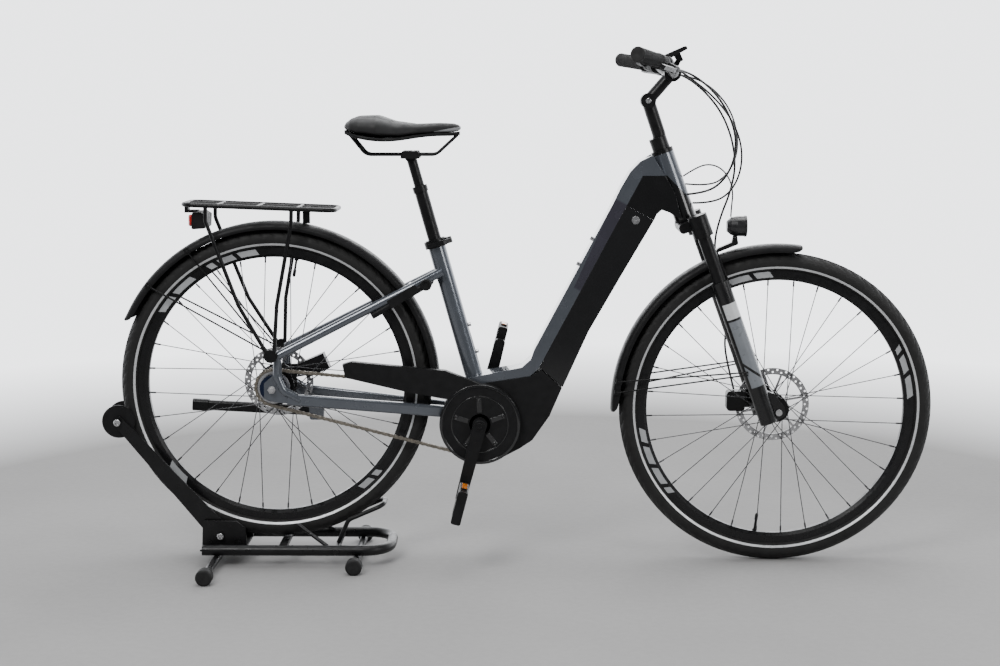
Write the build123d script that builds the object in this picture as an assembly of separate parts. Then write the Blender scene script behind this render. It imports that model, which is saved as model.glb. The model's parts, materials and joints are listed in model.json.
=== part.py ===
from build123d import *
import os
from math import atan2, cos, degrees, hypot, pi, radians, sin, sqrt, tan

# Step-through city e-bike held by its rear wheel in a floor stand.
# Millimetres. x runs forward from the rear axle, y to the rider's left, z up from the floor.
# Every part is exported shifted by ORIGIN_X, so that x = 0 is half way along the whole object.

os.makedirs("parts", exist_ok=True)

# ---------------------------------------------------------------- driving dimensions
WHEEL_BASE = 1144.0
REAR_LIFT = 52.0            # how far the stand holds the rear tyre off the floor
GAP = 0.3                   # clearance between parts that move on each other
SEAT_GAP = 0.2              # clearance between parts that are bolted together

TYRE_R = 357.0
TYRE_WIDTH = 47.0
RIM_FLANGE_R = 317.0
RIM_INNER_R = 294.0
RIM_WIDTH = 25.0
BEAD_Y = 10.8               # inner edge of the tyre's foot on the rim flange
SPOKE_R = 1.0
SPOKES = 32
FRONT_AXLE_R = 6.0
REAR_AXLE_R = 5.0
FRONT_ROTOR_R = 85.0
REAR_ROTOR_R = 80.0
ROTOR_Y = 38.5
ROTOR_THICK = 1.8

HEAD_TILT = 20.0            # steering axis, degrees back from vertical
HEAD_X, HEAD_Z = 907.0, 864.5
HEAD_HALF = 77.0
HEAD_TUBE_R = 25.0
STEERER_R = 14.3
LEG_Y = 64.0
LEG_AHEAD = 21.0
STANCHION_R = 15.0
LOWER_R = 20.0
FORK_TRAVEL = 50.0
CROWN_TOP = -83.0
SEAL_S = -233.0

SEAT_TILT = 15.7
SEAT_X, SEAT_Z = 371.0, 725.0
SEAT_TUBE_R = 20.0
POST_R = 15.0
POST_UPPER_R = 11.5

CRANK_X, CRANK_Z = 469.0, 327.0
CRANK_LENGTH = 170.0
CRANK_LEAN = 14.5           # degrees of the right crank from straight down, towards the rear
SPINDLE_R = 9.0
CHAIN_Y = -47.0
CHAINRING_R = 74.0
SPROCKET_R = 37.0
CHAIN_HALF = 4.0
GUARD_R = 92.0

FRAME_HALF = 36.0           # half width of the big down tube
WALL = 3.0
STAY_Y = 72.0
MUDGUARD_R = 374.0
MUDGUARD_THICK = 2.0
MUDGUARD_HALF = 27.0

BAR_HALF = 300.0
BAR_R = 11.0
GRIP_R = 15.5
GRIP_LENGTH = 128.0

BASE_TUBE_R = 12.0
BASE_Y = 84.0
BASE_Z = 38.0
FOOT_BAR_R = 9.0
FOOT_CAP_R = 18.0
FOOT_FLAT = 0.6             # how much of each rubber foot is flattened against the floor
ROLLER_X, ROLLER_Z = -361.0, 326.0
ROLLER_R = 38.0

REAR_Z = TYRE_R + REAR_LIFT
FRONT_Z = TYRE_R
ORIGIN_X = (ROLLER_X - ROLLER_R + WHEEL_BASE + TYRE_R) / 2

parts = {}


# ---------------------------------------------------------------- helpers
def box(x0, x1, y0, y1, z0, z1):
    centre = Pos((x0 + x1) / 2, (y0 + y1) / 2, (z0 + z1) / 2)
    return centre * Box(x1 - x0, y1 - y0, z1 - z0)


def rod(points, radius, bend=20.0, bore=0.0):
    """A round bar or tube through the points, with arcs at the corners."""
    if len(points) == 2:
        path = Line(*points)
    else:
        path = FilletPolyline(*points, radius=bend)
    section = Circle(radius) - Circle(bore) if bore else Circle(radius)
    return sweep(Plane(path @ 0, z_dir=path % 0) * section, path=path)


def disc_y(x, z, radius, y0, y1, bore=0.0):
    """A disc or ring on an axis along y."""
    ring = Pos(x, (y0 + y1) / 2, z) * Rot(90, 0, 0) * Cylinder(radius, abs(y1 - y0))
    if bore:
        ring -= Pos(x, (y0 + y1) / 2, z) * Rot(90, 0, 0) * Cylinder(bore, abs(y1 - y0) + 2)
    return ring


def turned(points, x, z):
    """A body turned about an axis along y from (radius, y) points."""
    face = make_face(Polyline(*points, close=True))
    return Pos(x, 0, z) * revolve(face, Axis.Y)


def plate(points, y0, y1, bend=0.0):
    """A flat plate with an outline of (x, z) points, from y0 to y1."""
    outline = Polyline(*points, close=True)
    face = Plane.XZ * make_face(outline)
    if bend:
        face = fillet(face.vertices(), bend)
    solid = extrude(face, y1 - y0, dir=(0, 1, 0))
    return Pos(0, y0, 0) * solid


def beam(start, end, width, height, corner):
    """A straight box-section tube; width is across, height is up."""
    a, b = Vector(*start), Vector(*end)
    along = (b - a).normalized()
    across = Vector(0, 0, 1).cross(along).normalized()
    plane = Plane(origin=a, x_dir=across, z_dir=along)
    return extrude(plane * RectangleRounded(width, height, corner), (b - a).length)


def both_sides(solid):
    return solid + mirror(solid, Plane.XZ)


def steer(along, up, y=0.0):
    """World point from steering coordinates: ahead of the axis, up along it."""
    c, s = cos(radians(HEAD_TILT)), sin(radians(HEAD_TILT))
    return (HEAD_X + along * c - up * s, y, HEAD_Z + along * s + up * c)


def seat(along, up, y=0.0):
    """World point from seat-post coordinates: ahead of the axis, up along it."""
    c, s = cos(radians(SEAT_TILT)), sin(radians(SEAT_TILT))
    return (SEAT_X + along * c - up * s, y, SEAT_Z + along * s + up * c)


STEER = Pos(HEAD_X, 0, HEAD_Z) * Rot(0, -HEAD_TILT, 0)
SEAT = Pos(SEAT_X, 0, SEAT_Z) * Rot(0, -SEAT_TILT, 0)


def barrel(frame, up0, up1, radius, bore=0.0, along=0.0, y=0.0):
    """A cylinder or ring along the axis of STEER or SEAT."""
    place_it = frame * Pos(along, y, (up0 + up1) / 2)
    solid = place_it * Cylinder(radius, up1 - up0)
    if bore:
        solid -= place_it * Cylinder(bore, up1 - up0 + 2)
    return solid


def arc_band(x, z, radius, thick, half, start, end):
    """A mudguard blade: a curved band about an axis along y, between two angles."""
    crown = 9.0
    section = [(radius - crown, half), (radius - crown + thick, half), (radius + thick, half * 0.55),
               (radius + thick, -half * 0.55), (radius - crown + thick, -half), (radius - crown, -half),
               (radius, -half * 0.5), (radius, half * 0.5)]
    face = make_face(Polyline(*section, close=True))
    blade = revolve(face, Axis.Y, revolution_arc=end - start)
    return Pos(x, 0, z) * Rot(0, -end, 0) * blade


# ---------------------------------------------------------------- wheels
def wheel(name, x, z, flange_r, flange_y, axle_r, shell_r, rotor_r, hub_end):
    half = TYRE_WIDTH / 2
    mid = TYRE_R - half
    seat_r = RIM_FLANGE_R + 1
    outline = [ThreePointArc((seat_r, half - 5), (mid - 4, half), (mid + 10, half - 3)),
               ThreePointArc((mid + 10, half - 3), (TYRE_R, 0), (mid + 10, 3 - half)),
               ThreePointArc((mid + 10, 3 - half), (mid - 4, -half), (seat_r, 5 - half)),
               Line((seat_r, 5 - half), (seat_r, -BEAD_Y)),
               ThreePointArc((seat_r, -BEAD_Y), (mid - 2, 3.5 - half), (mid + 9, 7 - half)),
               ThreePointArc((mid + 9, 7 - half), (TYRE_R - 5, 0), (mid + 9, half - 7)),
               ThreePointArc((mid + 9, half - 7), (mid - 2, half - 3.5), (seat_r, BEAD_Y)),
               Line((seat_r, BEAD_Y), (seat_r, half - 5))]
    tyre = revolve(make_face(Curve() + outline), Axis.Y)
    parts[name + "_tyre"] = Pos(x, 0, z) * tyre

    w = RIM_WIDTH / 2
    top = RIM_FLANGE_R + 1 - SEAT_GAP
    profile = [(RIM_INNER_R, 6), (RIM_INNER_R + 7, w), (top, w), (top, w - 2.5),
               (RIM_INNER_R + 14, w - 3.5),
               (RIM_INNER_R + 12, 0), (RIM_INNER_R + 14, 3.5 - w), (top, 2.5 - w), (top, -w),
               (RIM_INNER_R + 7, -w), (RIM_INNER_R, -6)]
    parts[name + "_rim"] = turned(profile, x, z)

    spokes = []
    hub_r = flange_r - 2.5
    for i in range(SPOKES):
        side = 1 if i % 2 == 0 else -1
        lead = 1 if (i // 2) % 2 == 0 else -1
        rim_angle = radians(i * 360 / SPOKES + 4)
        hub_angle = rim_angle + lead * radians(56)
        lift = 0.9 if lead > 0 else 0.0
        face_y = side * (flange_y + lead * (1.5 + SPOKE_R + SEAT_GAP + lift))
        start = (x + hub_r * cos(hub_angle), face_y, z + hub_r * sin(hub_angle))
        end_r = RIM_INNER_R - SEAT_GAP
        end = (x + end_r * cos(rim_angle), side * 2.5, z + end_r * sin(rim_angle))
        a, b = Vector(*start), Vector(*end)
        along = (b - a).normalized()
        length = (b - a).length
        spoke = Plane(origin=a, z_dir=along) * Pos(0, 0, length / 2) * Cylinder(SPOKE_R, length)
        nipple_start = b - along * 13
        nipple = Plane(origin=nipple_start, z_dir=along) * Pos(0, 0, 6) * Cylinder(2.0, 12.0)
        spokes.append(spoke + nipple)
    parts[name + "_spokes"] = Compound(children=spokes)

    bore = axle_r + GAP
    hub = [(bore, -hub_end), (13, -hub_end), (14, -flange_y - 1.5), (flange_r, -flange_y - 1.5),
           (flange_r, -flange_y + 1.5), (shell_r, -flange_y + 3), (shell_r, flange_y - 3),
           (flange_r, flange_y - 1.5), (flange_r, flange_y + 1.5), (18, flange_y + 2.5),
           (18, ROTOR_Y - ROTOR_THICK / 2 - SEAT_GAP), (bore, ROTOR_Y - ROTOR_THICK / 2 - SEAT_GAP)]
    cap_start = ROTOR_Y + ROTOR_THICK / 2 + SEAT_GAP
    cap = disc_y(x, z, 12, cap_start, cap_start + 3.8, bore)
    parts[name + "_hub"] = turned(hub, x, z) + cap

    ring = Circle(rotor_r) - Circle(rotor_r - 15)
    for row, count in ((rotor_r - 4, 24), (rotor_r - 9.5, 24)):
        ring -= PolarLocations(row, count, 7.5 if row > rotor_r - 6 else 0) * Circle(2.4)
    arm_length = rotor_r - 15 - 20
    for k in range(6):
        arm = Rot(0, 0, k * 60 + 10) * Pos(20 + arm_length / 2, 5, 0) * Rectangle(arm_length + 8, 5)
        ring += arm
    ring += Circle(24) - Circle(axle_r + GAP)
    disc = extrude(Plane.XZ * ring, ROTOR_THICK / 2, both=True)
    parts[name + "_rotor"] = Pos(x, ROTOR_Y, z) * disc


wheel("rear", 0, REAR_Z, 44, 27, REAR_AXLE_R, 36, REAR_ROTOR_R, 39)
wheel("front", WHEEL_BASE, FRONT_Z, 29, 28, FRONT_AXLE_R, 17, FRONT_ROTOR_R, LEG_Y - LOWER_R - GAP)

# ---------------------------------------------------------------- stand
def stand():
    tail, nose = -165.0, 262.0
    rail = rod([(tail, -BASE_Y, BASE_Z), (nose, -BASE_Y, BASE_Z), (nose, BASE_Y, BASE_Z),
                (tail, BASE_Y, BASE_Z)], BASE_TUBE_R, 60.0, BASE_TUBE_R - 2)
    base = rail
    rail_cut = rod([(tail, -BASE_Y, BASE_Z), (nose, -BASE_Y, BASE_Z), (nose, BASE_Y, BASE_Z),
                    (tail, BASE_Y, BASE_Z)], BASE_TUBE_R, 60.0)
    caps = []
    for x, half in ((REAR_FOOT_X, REAR_FOOT_HALF), (FRONT_FOOT_X, FRONT_FOOT_HALF)):
        bar = rod([(x, -half, FOOT_CAP_R), (x, half, FOOT_CAP_R)], FOOT_BAR_R)
        base += bar - rail_cut
        for side in (-1, 1):
            shell = disc_y(x, FOOT_CAP_R, FOOT_CAP_R + FOOT_FLAT, side * (half - 26), side * (half + 4))
            shell = fillet(shell.edges().filter_by(GeomType.CIRCLE), 5)
            shell -= box(x - 30, x + 30, -half - 10, half + 10, -5, 0)
            caps.append(shell - rod([(x, side * (half - 40), FOOT_CAP_R), (x, side * half, FOOT_CAP_R)],
                                    FOOT_BAR_R + 0.1))
    rest_top = REAR_Z - sqrt(TYRE_R ** 2 - REST_X ** 2) - GAP - 0.2
    rest = box(REST_X - 9, REST_X + 9, -BASE_Y, BASE_Y, rest_top - 8, rest_top) - rail_cut
    cross = rod([(CRADLE_X, -BASE_Y, BASE_Z), (CRADLE_X, BASE_Y, BASE_Z)], 6.0) - rail_cut
    parts["stand_base"] = base + rest + cross
    parts["stand_foot_caps"] = Compound(children=caps)

    cheek = [(-173, BASE_Z - 4), (-69, BASE_Z - 4), (-72, 80), (-92, 96), (-170, 98)]
    floor_plate = box(-172, -70, -BASE_Y + 4, BASE_Y - 4, BASE_Z - 4, BASE_Z)
    floor_plate -= rail_cut
    cheeks = both_sides(plate(cheek, -CHEEK_Y - 4, -CHEEK_Y, 6))
    cheeks -= disc_y(PIVOT_X, PIVOT_Z, PIVOT_R + GAP, -CHEEK_Y - 5, CHEEK_Y + 5)
    bracket = cheeks + (floor_plate - both_sides(box(-300, 0, -CHEEK_Y - 4, -CHEEK_Y, 0, 200)))
    bracket += disc_y(PIVOT_X, PIVOT_Z, PIVOT_R, -CHEEK_Y - 9, CHEEK_Y + 9)
    for side in (-1, 1):
        face = side * (CHEEK_Y + 4)
        bracket += disc_y(PIVOT_X, PIVOT_Z, 8, face, face + side * 5)
        for x in (-155, -88):
            bracket += disc_y(x, BASE_Z + 8, 5, face + side * SEAT_GAP, face + side * 4)
        bracket += disc_y(CRADLE_X, BASE_Z, 6, side * (BASE_Y + BASE_TUBE_R + SEAT_GAP),
                          side * (BASE_Y + BASE_TUBE_R + 5))
    parts["stand_bracket"] = bracket

    leg = 36.0
    hoop = rod([(CRADLE_X, -leg, BASE_Z + 6), (CRADLE_X + 24, -leg, 98), (246, -leg, 133),
                (246, leg, 133),
                (CRADLE_X + 24, leg, 98), (CRADLE_X, leg, BASE_Z + 6)], 5.0, 18.0)
    struts = both_sides(rod([(CRADLE_X - 22, -BASE_Y + 8, BASE_Z + 9), (48, -35, 86)], 4.5))
    parts["stand_cradle"] = (hoop + struts) - rail_cut - cross


REAR_FOOT_X, REAR_FOOT_HALF = -134.0, 242.0
FRONT_FOOT_X, FRONT_FOOT_HALF = 187.0, 156.0
REST_X = 20.0
CRADLE_X = 141.0
PIVOT_X, PIVOT_Z, PIVOT_R = -129.0, 62.0, 6.0
CHEEK_Y = 42.0
ARM_Y = 34.0
stand()


def stand_arm():
    dx, dz = ROLLER_X - PIVOT_X, ROLLER_Z - PIVOT_Z
    length = hypot(dx, dz)
    ux, uz = dx / length, dz / length
    nx, nz = uz, -ux        # towards the tyre

    def at(along, off):
        return (PIVOT_X + ux * along + nx * off, PIVOT_Z + uz * along + nz * off)
    side = [at(-6, -9), at(-14, 14), at(10, 26), at(60, 22), at(length - 20, 14), at(length + 8, 12),
            at(length + 10, -10), at(length - 20, -12), at(40, -22), at(0, -16)]
    arm = both_sides(plate(side, -ARM_Y - 3, -ARM_Y, 4))
    back = [at(30, -19.5), at(length - 60, -13), at(length - 60, -10), at(30, -16.5)]
    arm += plate(back, -ARM_Y, ARM_Y)
    arm -= disc_y(PIVOT_X, PIVOT_Z, PIVOT_R + GAP, -60, 60)
    arm -= disc_y(0, REAR_Z, TYRE_R + 3, -28, 28)
    arm += disc_y(ROLLER_X, ROLLER_Z, 5, -ARM_Y - 9, ARM_Y + 9)
    parts["stand_arm"] = arm
    core = hypot(ROLLER_X, ROLLER_Z - REAR_Z) - TYRE_R - GAP
    spool = [(5 + GAP, -30), (ROLLER_R, -30), (ROLLER_R, -27), (core, -26), (core, 26), (ROLLER_R, 27),
             (ROLLER_R, 30), (5 + GAP, 30)]
    parts["stand_roller"] = turned(spool, ROLLER_X, ROLLER_Z)


stand_arm()


# ---------------------------------------------------------------- frame
def dt(along, out):
    """World (x, z) from down-tube coordinates: along the tube, and out from its top face."""
    c, s = cos(radians(DOWN_TILT)), sin(radians(DOWN_TILT))
    out += DOWN_TOP
    return (along * s + out * c, along * c - out * s)


DOWN_TILT = 28.0            # degrees of the down tube from vertical
DOWN_TOP = 290.5            # distance of its top face from the point under the rear axle
PACK_OUT = 29.0             # depth of the grey channel; the battery fills the rest
BAY_END = 1100.0            # where the battery stops, measured along the tube
grey_top = [(430, 427), (525, 446), (564, 454), (584, 472), dt(715, 0), dt(1090, 0), (785, 861),
            (806, 897), (828, 920), (856, 934)]
grey_bottom = [dt(BAY_END, PACK_OUT), dt(682, PACK_OUT), (583, 434), (452, 414), (430, 404.4)]
head_foot = [(906, 850), (922, 792), (908, 797), (894, 806), (877, 812), (866, 802), dt(BAY_END, 98.7)]
cover_bottom = [dt(BAY_END - GAP, 98.5), (788, 665), (715, 537), (657, 409)]
bay = [dt(700, 4), dt(BAY_END - 10, 4), dt(BAY_END - 10, 60), dt(700, 60)]


def frame():
    outline = grey_top + head_foot + grey_bottom
    beam_solid = plate(outline, -FRAME_HALF, FRAME_HALF)
    beam_solid -= barrel(STEER, -HEAD_HALF - 30, HEAD_HALF + 30, HEAD_TUBE_R - 1)
    head = barrel(STEER, -HEAD_HALF, HEAD_HALF, HEAD_TUBE_R, STEERER_R + 4)
    down = beam_solid + head
    down -= barrel(STEER, -HEAD_HALF - 30, HEAD_HALF + 30, STEERER_R + 4)
    down -= barrel(STEER, HEAD_HALF, HEAD_HALF + 30, 40)
    down -= barrel(STEER, -HEAD_HALF - 30, -HEAD_HALF, 45)
    down -= plate(bay, WALL - FRAME_HALF, FRAME_HALF - WALL)
    parts["down_tube"] = down

    cup = barrel(STEER, HEAD_HALF, HEAD_HALF + 9, HEAD_TUBE_R, STEERER_R + GAP)
    cup += barrel(STEER, -HEAD_HALF - 5, -HEAD_HALF, HEAD_TUBE_R + 1, STEERER_R + GAP)
    parts["headset"] = cup

    foot = (CRANK_Z - SEAT_Z) / cos(radians(SEAT_TILT)) + 98
    tube = barrel(SEAT, foot, 0, SEAT_TUBE_R, POST_R + GAP)
    tube -= plate([(400, 300), (400, 414), (430, 427.2), (525, 446.2), (525, 300)], -40, 40)
    parts["seat_tube"] = tube

    motor = plate([(388, 372), (400, 390), (448, 411), (452, 413.8), (583, 433.8), (607.5, 449.5),
                   (655, 407.6), (627, 343), (588, 287), (560, 268), (524, 249), (466, 243),
                   (418, 262), (395, 300),
                   (388, 335)], MOTOR_RIGHT, MOTOR_LEFT)
    motor -= disc_y(CRANK_X, CRANK_Z, SPINDLE_R + GAP, -90, 90)
    parts["motor_housing"] = motor

    dropout = plate([(-18, REAR_Z - 22), (-18, REAR_Z + 14), (0, REAR_Z + 30), (10, REAR_Z + 66),
                     (22, REAR_Z + 66), (24, REAR_Z + 10), (60, REAR_Z - 12), (60, REAR_Z - 34),
                     (10, REAR_Z - 30)],
                    -STAY_Y - 3, -STAY_Y + 3, 3)
    stay = beam((34, -STAY_Y + 2, 386), (386, -33, 352), 15, 27, 6)
    link = rod([(13, -STAY_Y, 484), (11, -STAY_Y, 440), (26, -STAY_Y, 404), (62, -STAY_Y + 4, 384)],
               9.0, 26.0)
    right = dropout + stay + link
    chain_stays = both_sides(right)
    chain_stays -= disc_y(0, REAR_Z, REAR_AXLE_R, -90, 90)
    chain_stays += plate([(62, 392), (104, 388), (98, 312), (66, 312)], STAY_Y - 4, KICK_Y, 6)
    parts["chain_stays"] = chain_stays

    path = [(13, -STAY_Y, 485), (150, -52, 554), (320, -39, 640), (383, -27, 672)]
    stay = rod(path, 10.0, 60.0) - link - dropout
    bridge = rod([(310, -36, 635), (310, 36, 635)], 7.6)
    seat_stays = both_sides(stay) + bridge - barrel(SEAT, -200, 20, SEAT_TUBE_R + SEAT_GAP)
    parts["seat_stays"] = seat_stays

    bolts = []
    for dist in (-190, -254):
        head = Rot(0, 90, 0) * Pos(0, 0, 3) * Cylinder(4.5, 6)
        bolts.append(SEAT * Pos(SEAT_TUBE_R + SEAT_GAP, 0, dist) * head)
    for along in (932, 997):
        x, z = dt(along, -SEAT_GAP)
        seat_plane = Plane(origin=(x, 0, z),
                           z_dir=(-cos(radians(DOWN_TILT)), 0, sin(radians(DOWN_TILT))))
        bolts.append(seat_plane * Pos(0, 0, 3) * Cylinder(4.5, 6))
    parts["cage_bolts"] = Compound(children=bolts)


MOTOR_RIGHT, MOTOR_LEFT = -41.0, 44.0
KICK_X, KICK_Z, KICK_Y = 81.0, 322.0, 83.0
frame()

# ---------------------------------------------------------------- battery, lock and covers
def battery():
    outline = [(608.5, 450.5), dt(684, PACK_OUT + GAP),
               dt(BAY_END - GAP, PACK_OUT + GAP)] + cover_bottom
    cover = plate(outline, -FRAME_HALF, FRAME_HALF)
    low_wall = [dt(BAY_END - 4, 95), dt(957, 89), dt(810, 84.5), dt(690, 91.5)]
    inner_y = FRAME_HALF - WALL
    cover -= plate([dt(690, 20), dt(BAY_END - 4, 20)] + low_wall, -inner_y, inner_y)
    cover -= disc_y(LOCK_X, LOCK_Z, LOCK_R + GAP, -60, 0)
    parts["battery_cover"] = cover
    pack = [dt(735, 8), dt(1064, 8), dt(1064, 91), dt(957, 87), dt(810, 82), dt(735, 86)]
    parts["battery_pack"] = plate(pack, 0.4 + WALL - FRAME_HALF, FRAME_HALF - WALL - 0.4)
    lock = disc_y(LOCK_X, LOCK_Z, LOCK_R, -FRAME_HALF - 3, WALL - FRAME_HALF)
    lock -= box(LOCK_X - 4, LOCK_X + 4, -FRAME_HALF - 4, -FRAME_HALF - 1, LOCK_Z - 0.8, LOCK_Z + 0.8)
    parts["key_lock"] = lock


LOCK_X, LOCK_Z, LOCK_R = 819.0, 789.0, 9.0
battery()


# ---------------------------------------------------------------- seat post and saddle
def seat_group():
    ring = barrel(SEAT, 1, 17, 26, SEAT_TUBE_R + SEAT_GAP) + barrel(SEAT, 0 + SEAT_GAP, 19, 22,
                                                                    POST_R + GAP)
    ring -= barrel(SEAT, -5, SEAT_GAP, 40)
    ring += SEAT * Pos(30, 0, 9) * Box(14, 18, 14)
    ring -= SEAT * Pos(30, 0, 9) * Box(30, 2, 30)
    ring -= SEAT * Pos(32, 0, 9) * Rot(90, 0, 0) * Cylinder(3 + GAP, 60)
    parts["seat_clamp"] = ring
    pin = SEAT * Pos(32, 4, 9) * Rot(90, 0, 0) * Cylinder(3, 27)
    parts["seat_clamp"] += pin
    grip = [(26, -14), (38, -14), (38, -24), (20, -34), (-14, -34), (-14, -28), (16, -28), (26, -22)]
    lever = extrude(make_face(Polyline(*grip, close=True)), 9)
    cam = Pos(32, LEVER_Y, 4.5) * Cylinder(7, 9)
    parts["seat_clamp_lever"] = SEAT * Pos(0, 0, 4.5) * (lever + cam)

    lower = barrel(SEAT, -150, COLLAR_UP, POST_R, POST_UPPER_R + GAP)
    lower += barrel(SEAT, COLLAR_UP, COLLAR_UP + 14, POST_R + 2, POST_UPPER_R + GAP)
    parts["seatpost_lower"] = lower

    head_up = COLLAR_UP + 76
    upper = barrel(SEAT, COLLAR_UP - 90, head_up, POST_UPPER_R)
    hx, _, hz = seat(0, head_up + 8)
    upper += disc_y(hx, hz, 13, -17, 17)
    upper = upper - both_sides(disc_y(hx, hz, 20, 17.2, 30))
    parts["seatpost_upper"] = upper

    rail_z = hz + 4
    rail = rod([(178, 22, 979.5), (214, 22, rail_z), (hx + 58, 22, rail_z), (418, 9, 978)], RAIL_R,
               24.0)
    rails = both_sides(rail) - disc_y(hx, hz, 13.2, -17.2, 17.2)
    clamp = both_sides(plate([(hx - 22, rail_z - 9), (hx + 22, rail_z - 9), (hx + 18, rail_z + 8),
                              (hx - 18, rail_z + 8)], -30, -17.4, 3))
    clamp -= rails
    shell = saddle_form(0.0, 8.0)
    parts["saddle_base"] = rails + clamp + (shell - rails)
    parts["saddle_pad"] = saddle_form(8.3, 0)


def saddle_form(low, high):
    """A layer of the saddle: a loft through outlines at stations along x."""
    stations = [(170, 60, 982, 1008), (200, 80, 972, 1021), (240, 84, 966, 1020), (285, 62, 966, 1008),
                (330, 38, 972, 1004), (380, 25, 976, 1006), (424, 19, 978, 1002)]
    sections = []
    for x, half, z0, z1 in stations:
        bottom = z0 + low
        top = z0 + high if high else z1
        face = Pos(0, (bottom + top) / 2) * RectangleRounded(2 * half - 2, top - bottom,
                                                             (top - bottom) * 0.42)
        sections.append(Plane(origin=(x, 0, 0), x_dir=(0, 1, 0), z_dir=(1, 0, 0)) * face)
    return loft(sections)


COLLAR_UP = 130.0
LEVER_Y = -16.7
RAIL_R = 3.5
seat_group()


# ---------------------------------------------------------------- drive
def drive():
    lean = radians(CRANK_LEAN)
    for_right = (-sin(lean), -cos(lean))
    spindle = disc_y(CRANK_X, CRANK_Z, SPINDLE_R, -72, 74)
    ring = disc_y(CRANK_X, CRANK_Z, CHAINRING_R, CHAIN_Y - 1.5, CHAIN_Y + 1.5)
    for k in range(5):
        a = radians(72 * k + 20)
        ring -= disc_y(CRANK_X + 44 * cos(a), CRANK_Z + 44 * sin(a), 15, CHAIN_Y - 5, CHAIN_Y + 5)
    ring += disc_y(CRANK_X, CRANK_Z, 22, CHAIN_Y - 3, MOTOR_RIGHT - GAP)
    ring -= disc_y(CRANK_X, CRANK_Z, SPINDLE_R, -90, 90)
    arms = []
    for side, (ux, uz) in ((-1, for_right), (1, (sin(lean), cos(lean)))):
        px, pz = CRANK_X + ux * CRANK_LENGTH, CRANK_Z + uz * CRANK_LENGTH
        y0, y1 = (-80, -66) if side < 0 else (66, 80)
        nx, nz = uz, -ux
        outline = [(CRANK_X + nx * 16 - ux * 14, CRANK_Z + nz * 16 - uz * 14),
                   (px + nx * 12 + ux * 12, pz + nz * 12 + uz * 12),
                   (px - nx * 12 + ux * 12, pz - nz * 12 + uz * 12),
                   (CRANK_X - nx * 16 - ux * 14, CRANK_Z - nz * 16 - uz * 14)]
        arm = plate(outline, y0, y1, 8)
        inner = (-66, CHAIN_Y - 3) if side < 0 else (MOTOR_LEFT + GAP, 66)
        arm += disc_y(CRANK_X, CRANK_Z, 17, *inner)
        arm -= disc_y(CRANK_X, CRANK_Z, SPINDLE_R, -90, 90)
        arm -= disc_y(px, pz, PEDAL_AXLE_R + GAP, -100, 100)
        arms.append(arm)
        name = "pedal_right" if side < 0 else "pedal_left"
        parts[name] = pedal(px, pz, ux, uz, side)
    parts["crankset"] = Compound(children=[spindle, ring] + arms)

    sprocket = disc_y(0, REAR_Z, SPROCKET_R, CHAIN_Y - 1.5, CHAIN_Y + 1.5, REAR_AXLE_R + GAP)
    sprocket += disc_y(0, REAR_Z, 16, CHAIN_Y - 5, CHAIN_Y, REAR_AXLE_R + GAP)
    sprocket += disc_y(0, REAR_Z, 20, CHAIN_Y, -39.6, REAR_AXLE_R + GAP)
    parts["rear_sprocket"] = sprocket
    parts["chain"] = chain_loop()

    axle = disc_y(0, REAR_Z, REAR_AXLE_R, -90, 88)
    joint = disc_y(0, REAR_Z, 30, -62.3, -54) + disc_y(0, REAR_Z, 11, -STAY_Y + 3 + SEAT_GAP, -62)
    joint -= disc_y(0, REAR_Z, REAR_AXLE_R, -100, 100)
    nuts = []
    for side in (-1, 1):
        nut = extrude(Plane.XZ * RegularPolygon(9, 6), 4, both=True)
        nut = Pos(0, side * (STAY_Y + 3 + SEAT_GAP + 4), REAR_Z) * nut
        nuts.append(nut - disc_y(0, REAR_Z, REAR_AXLE_R, -100, 100))
    parts["rear_axle"] = Compound(children=[axle, joint] + nuts)

    plate_outline = guard_outline(0)
    guard = plate(plate_outline, -61, -58) + disc_y(CRANK_X, CRANK_Z, GUARD_R, -61, -58)
    lip = plate(plate_outline, -58, MOTOR_RIGHT - SEAT_GAP) + disc_y(CRANK_X, CRANK_Z, GUARD_R, -58,
                                                                     MOTOR_RIGHT - SEAT_GAP)
    hollow = plate(guard_outline(3.5), -58, -30) + disc_y(CRANK_X, CRANK_Z, GUARD_R - 3, -58, -30)
    guard += lip - hollow - box(100, 405, -90, 90, 200, 402)
    guard -= Pos(0, CHAIN_Y, 0) * extrude(tangent_loop(5.5), 8, both=True)
    guard -= disc_y(CRANK_X, CRANK_Z, 24, -90, 90)
    guard -= plate([(300, 380), (380, 372), (400, 300), (300, 200)], -57, 0)
    parts["chain_guard"] = guard


def guard_outline(inset):
    return [(158, 464 - inset), (178, 470 - inset), (392, 450 - inset),
            (470, CRANK_Z + GUARD_R - inset),
            (470, 380), (386, 386), (300, 402), (164, 434)]


def tangent_loop(grow):
    """The chain's line round both sprockets, moved out by grow, as a face."""
    r0, r1 = SPROCKET_R + 4 + grow, CHAINRING_R + 4 + grow
    d = hypot(CRANK_X, CRANK_Z - REAR_Z)
    base = atan2(CRANK_Z - REAR_Z, CRANK_X)
    swing = pi / 2 + (r1 - r0) / d
    points = []
    for sign in (1, -1):
        a = base + sign * swing
        points.append((r0 * cos(a), REAR_Z + r0 * sin(a)))
        points.append((CRANK_X + r1 * cos(a), CRANK_Z + r1 * sin(a)))
    face = Plane.XZ * make_face(Polyline(points[0], points[1], points[3], points[2], close=True))
    face += Plane.XZ * (Pos(0, REAR_Z) * Circle(r0)) + Plane.XZ * (Pos(CRANK_X, CRANK_Z) * Circle(r1))
    return face


def chain_loop():
    outer = extrude(tangent_loop(3.5), CHAIN_HALF, both=True)
    inner = extrude(tangent_loop(-3.5), CHAIN_HALF + 1, both=True)
    return Pos(0, CHAIN_Y, 0) * (outer - inner)


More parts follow.
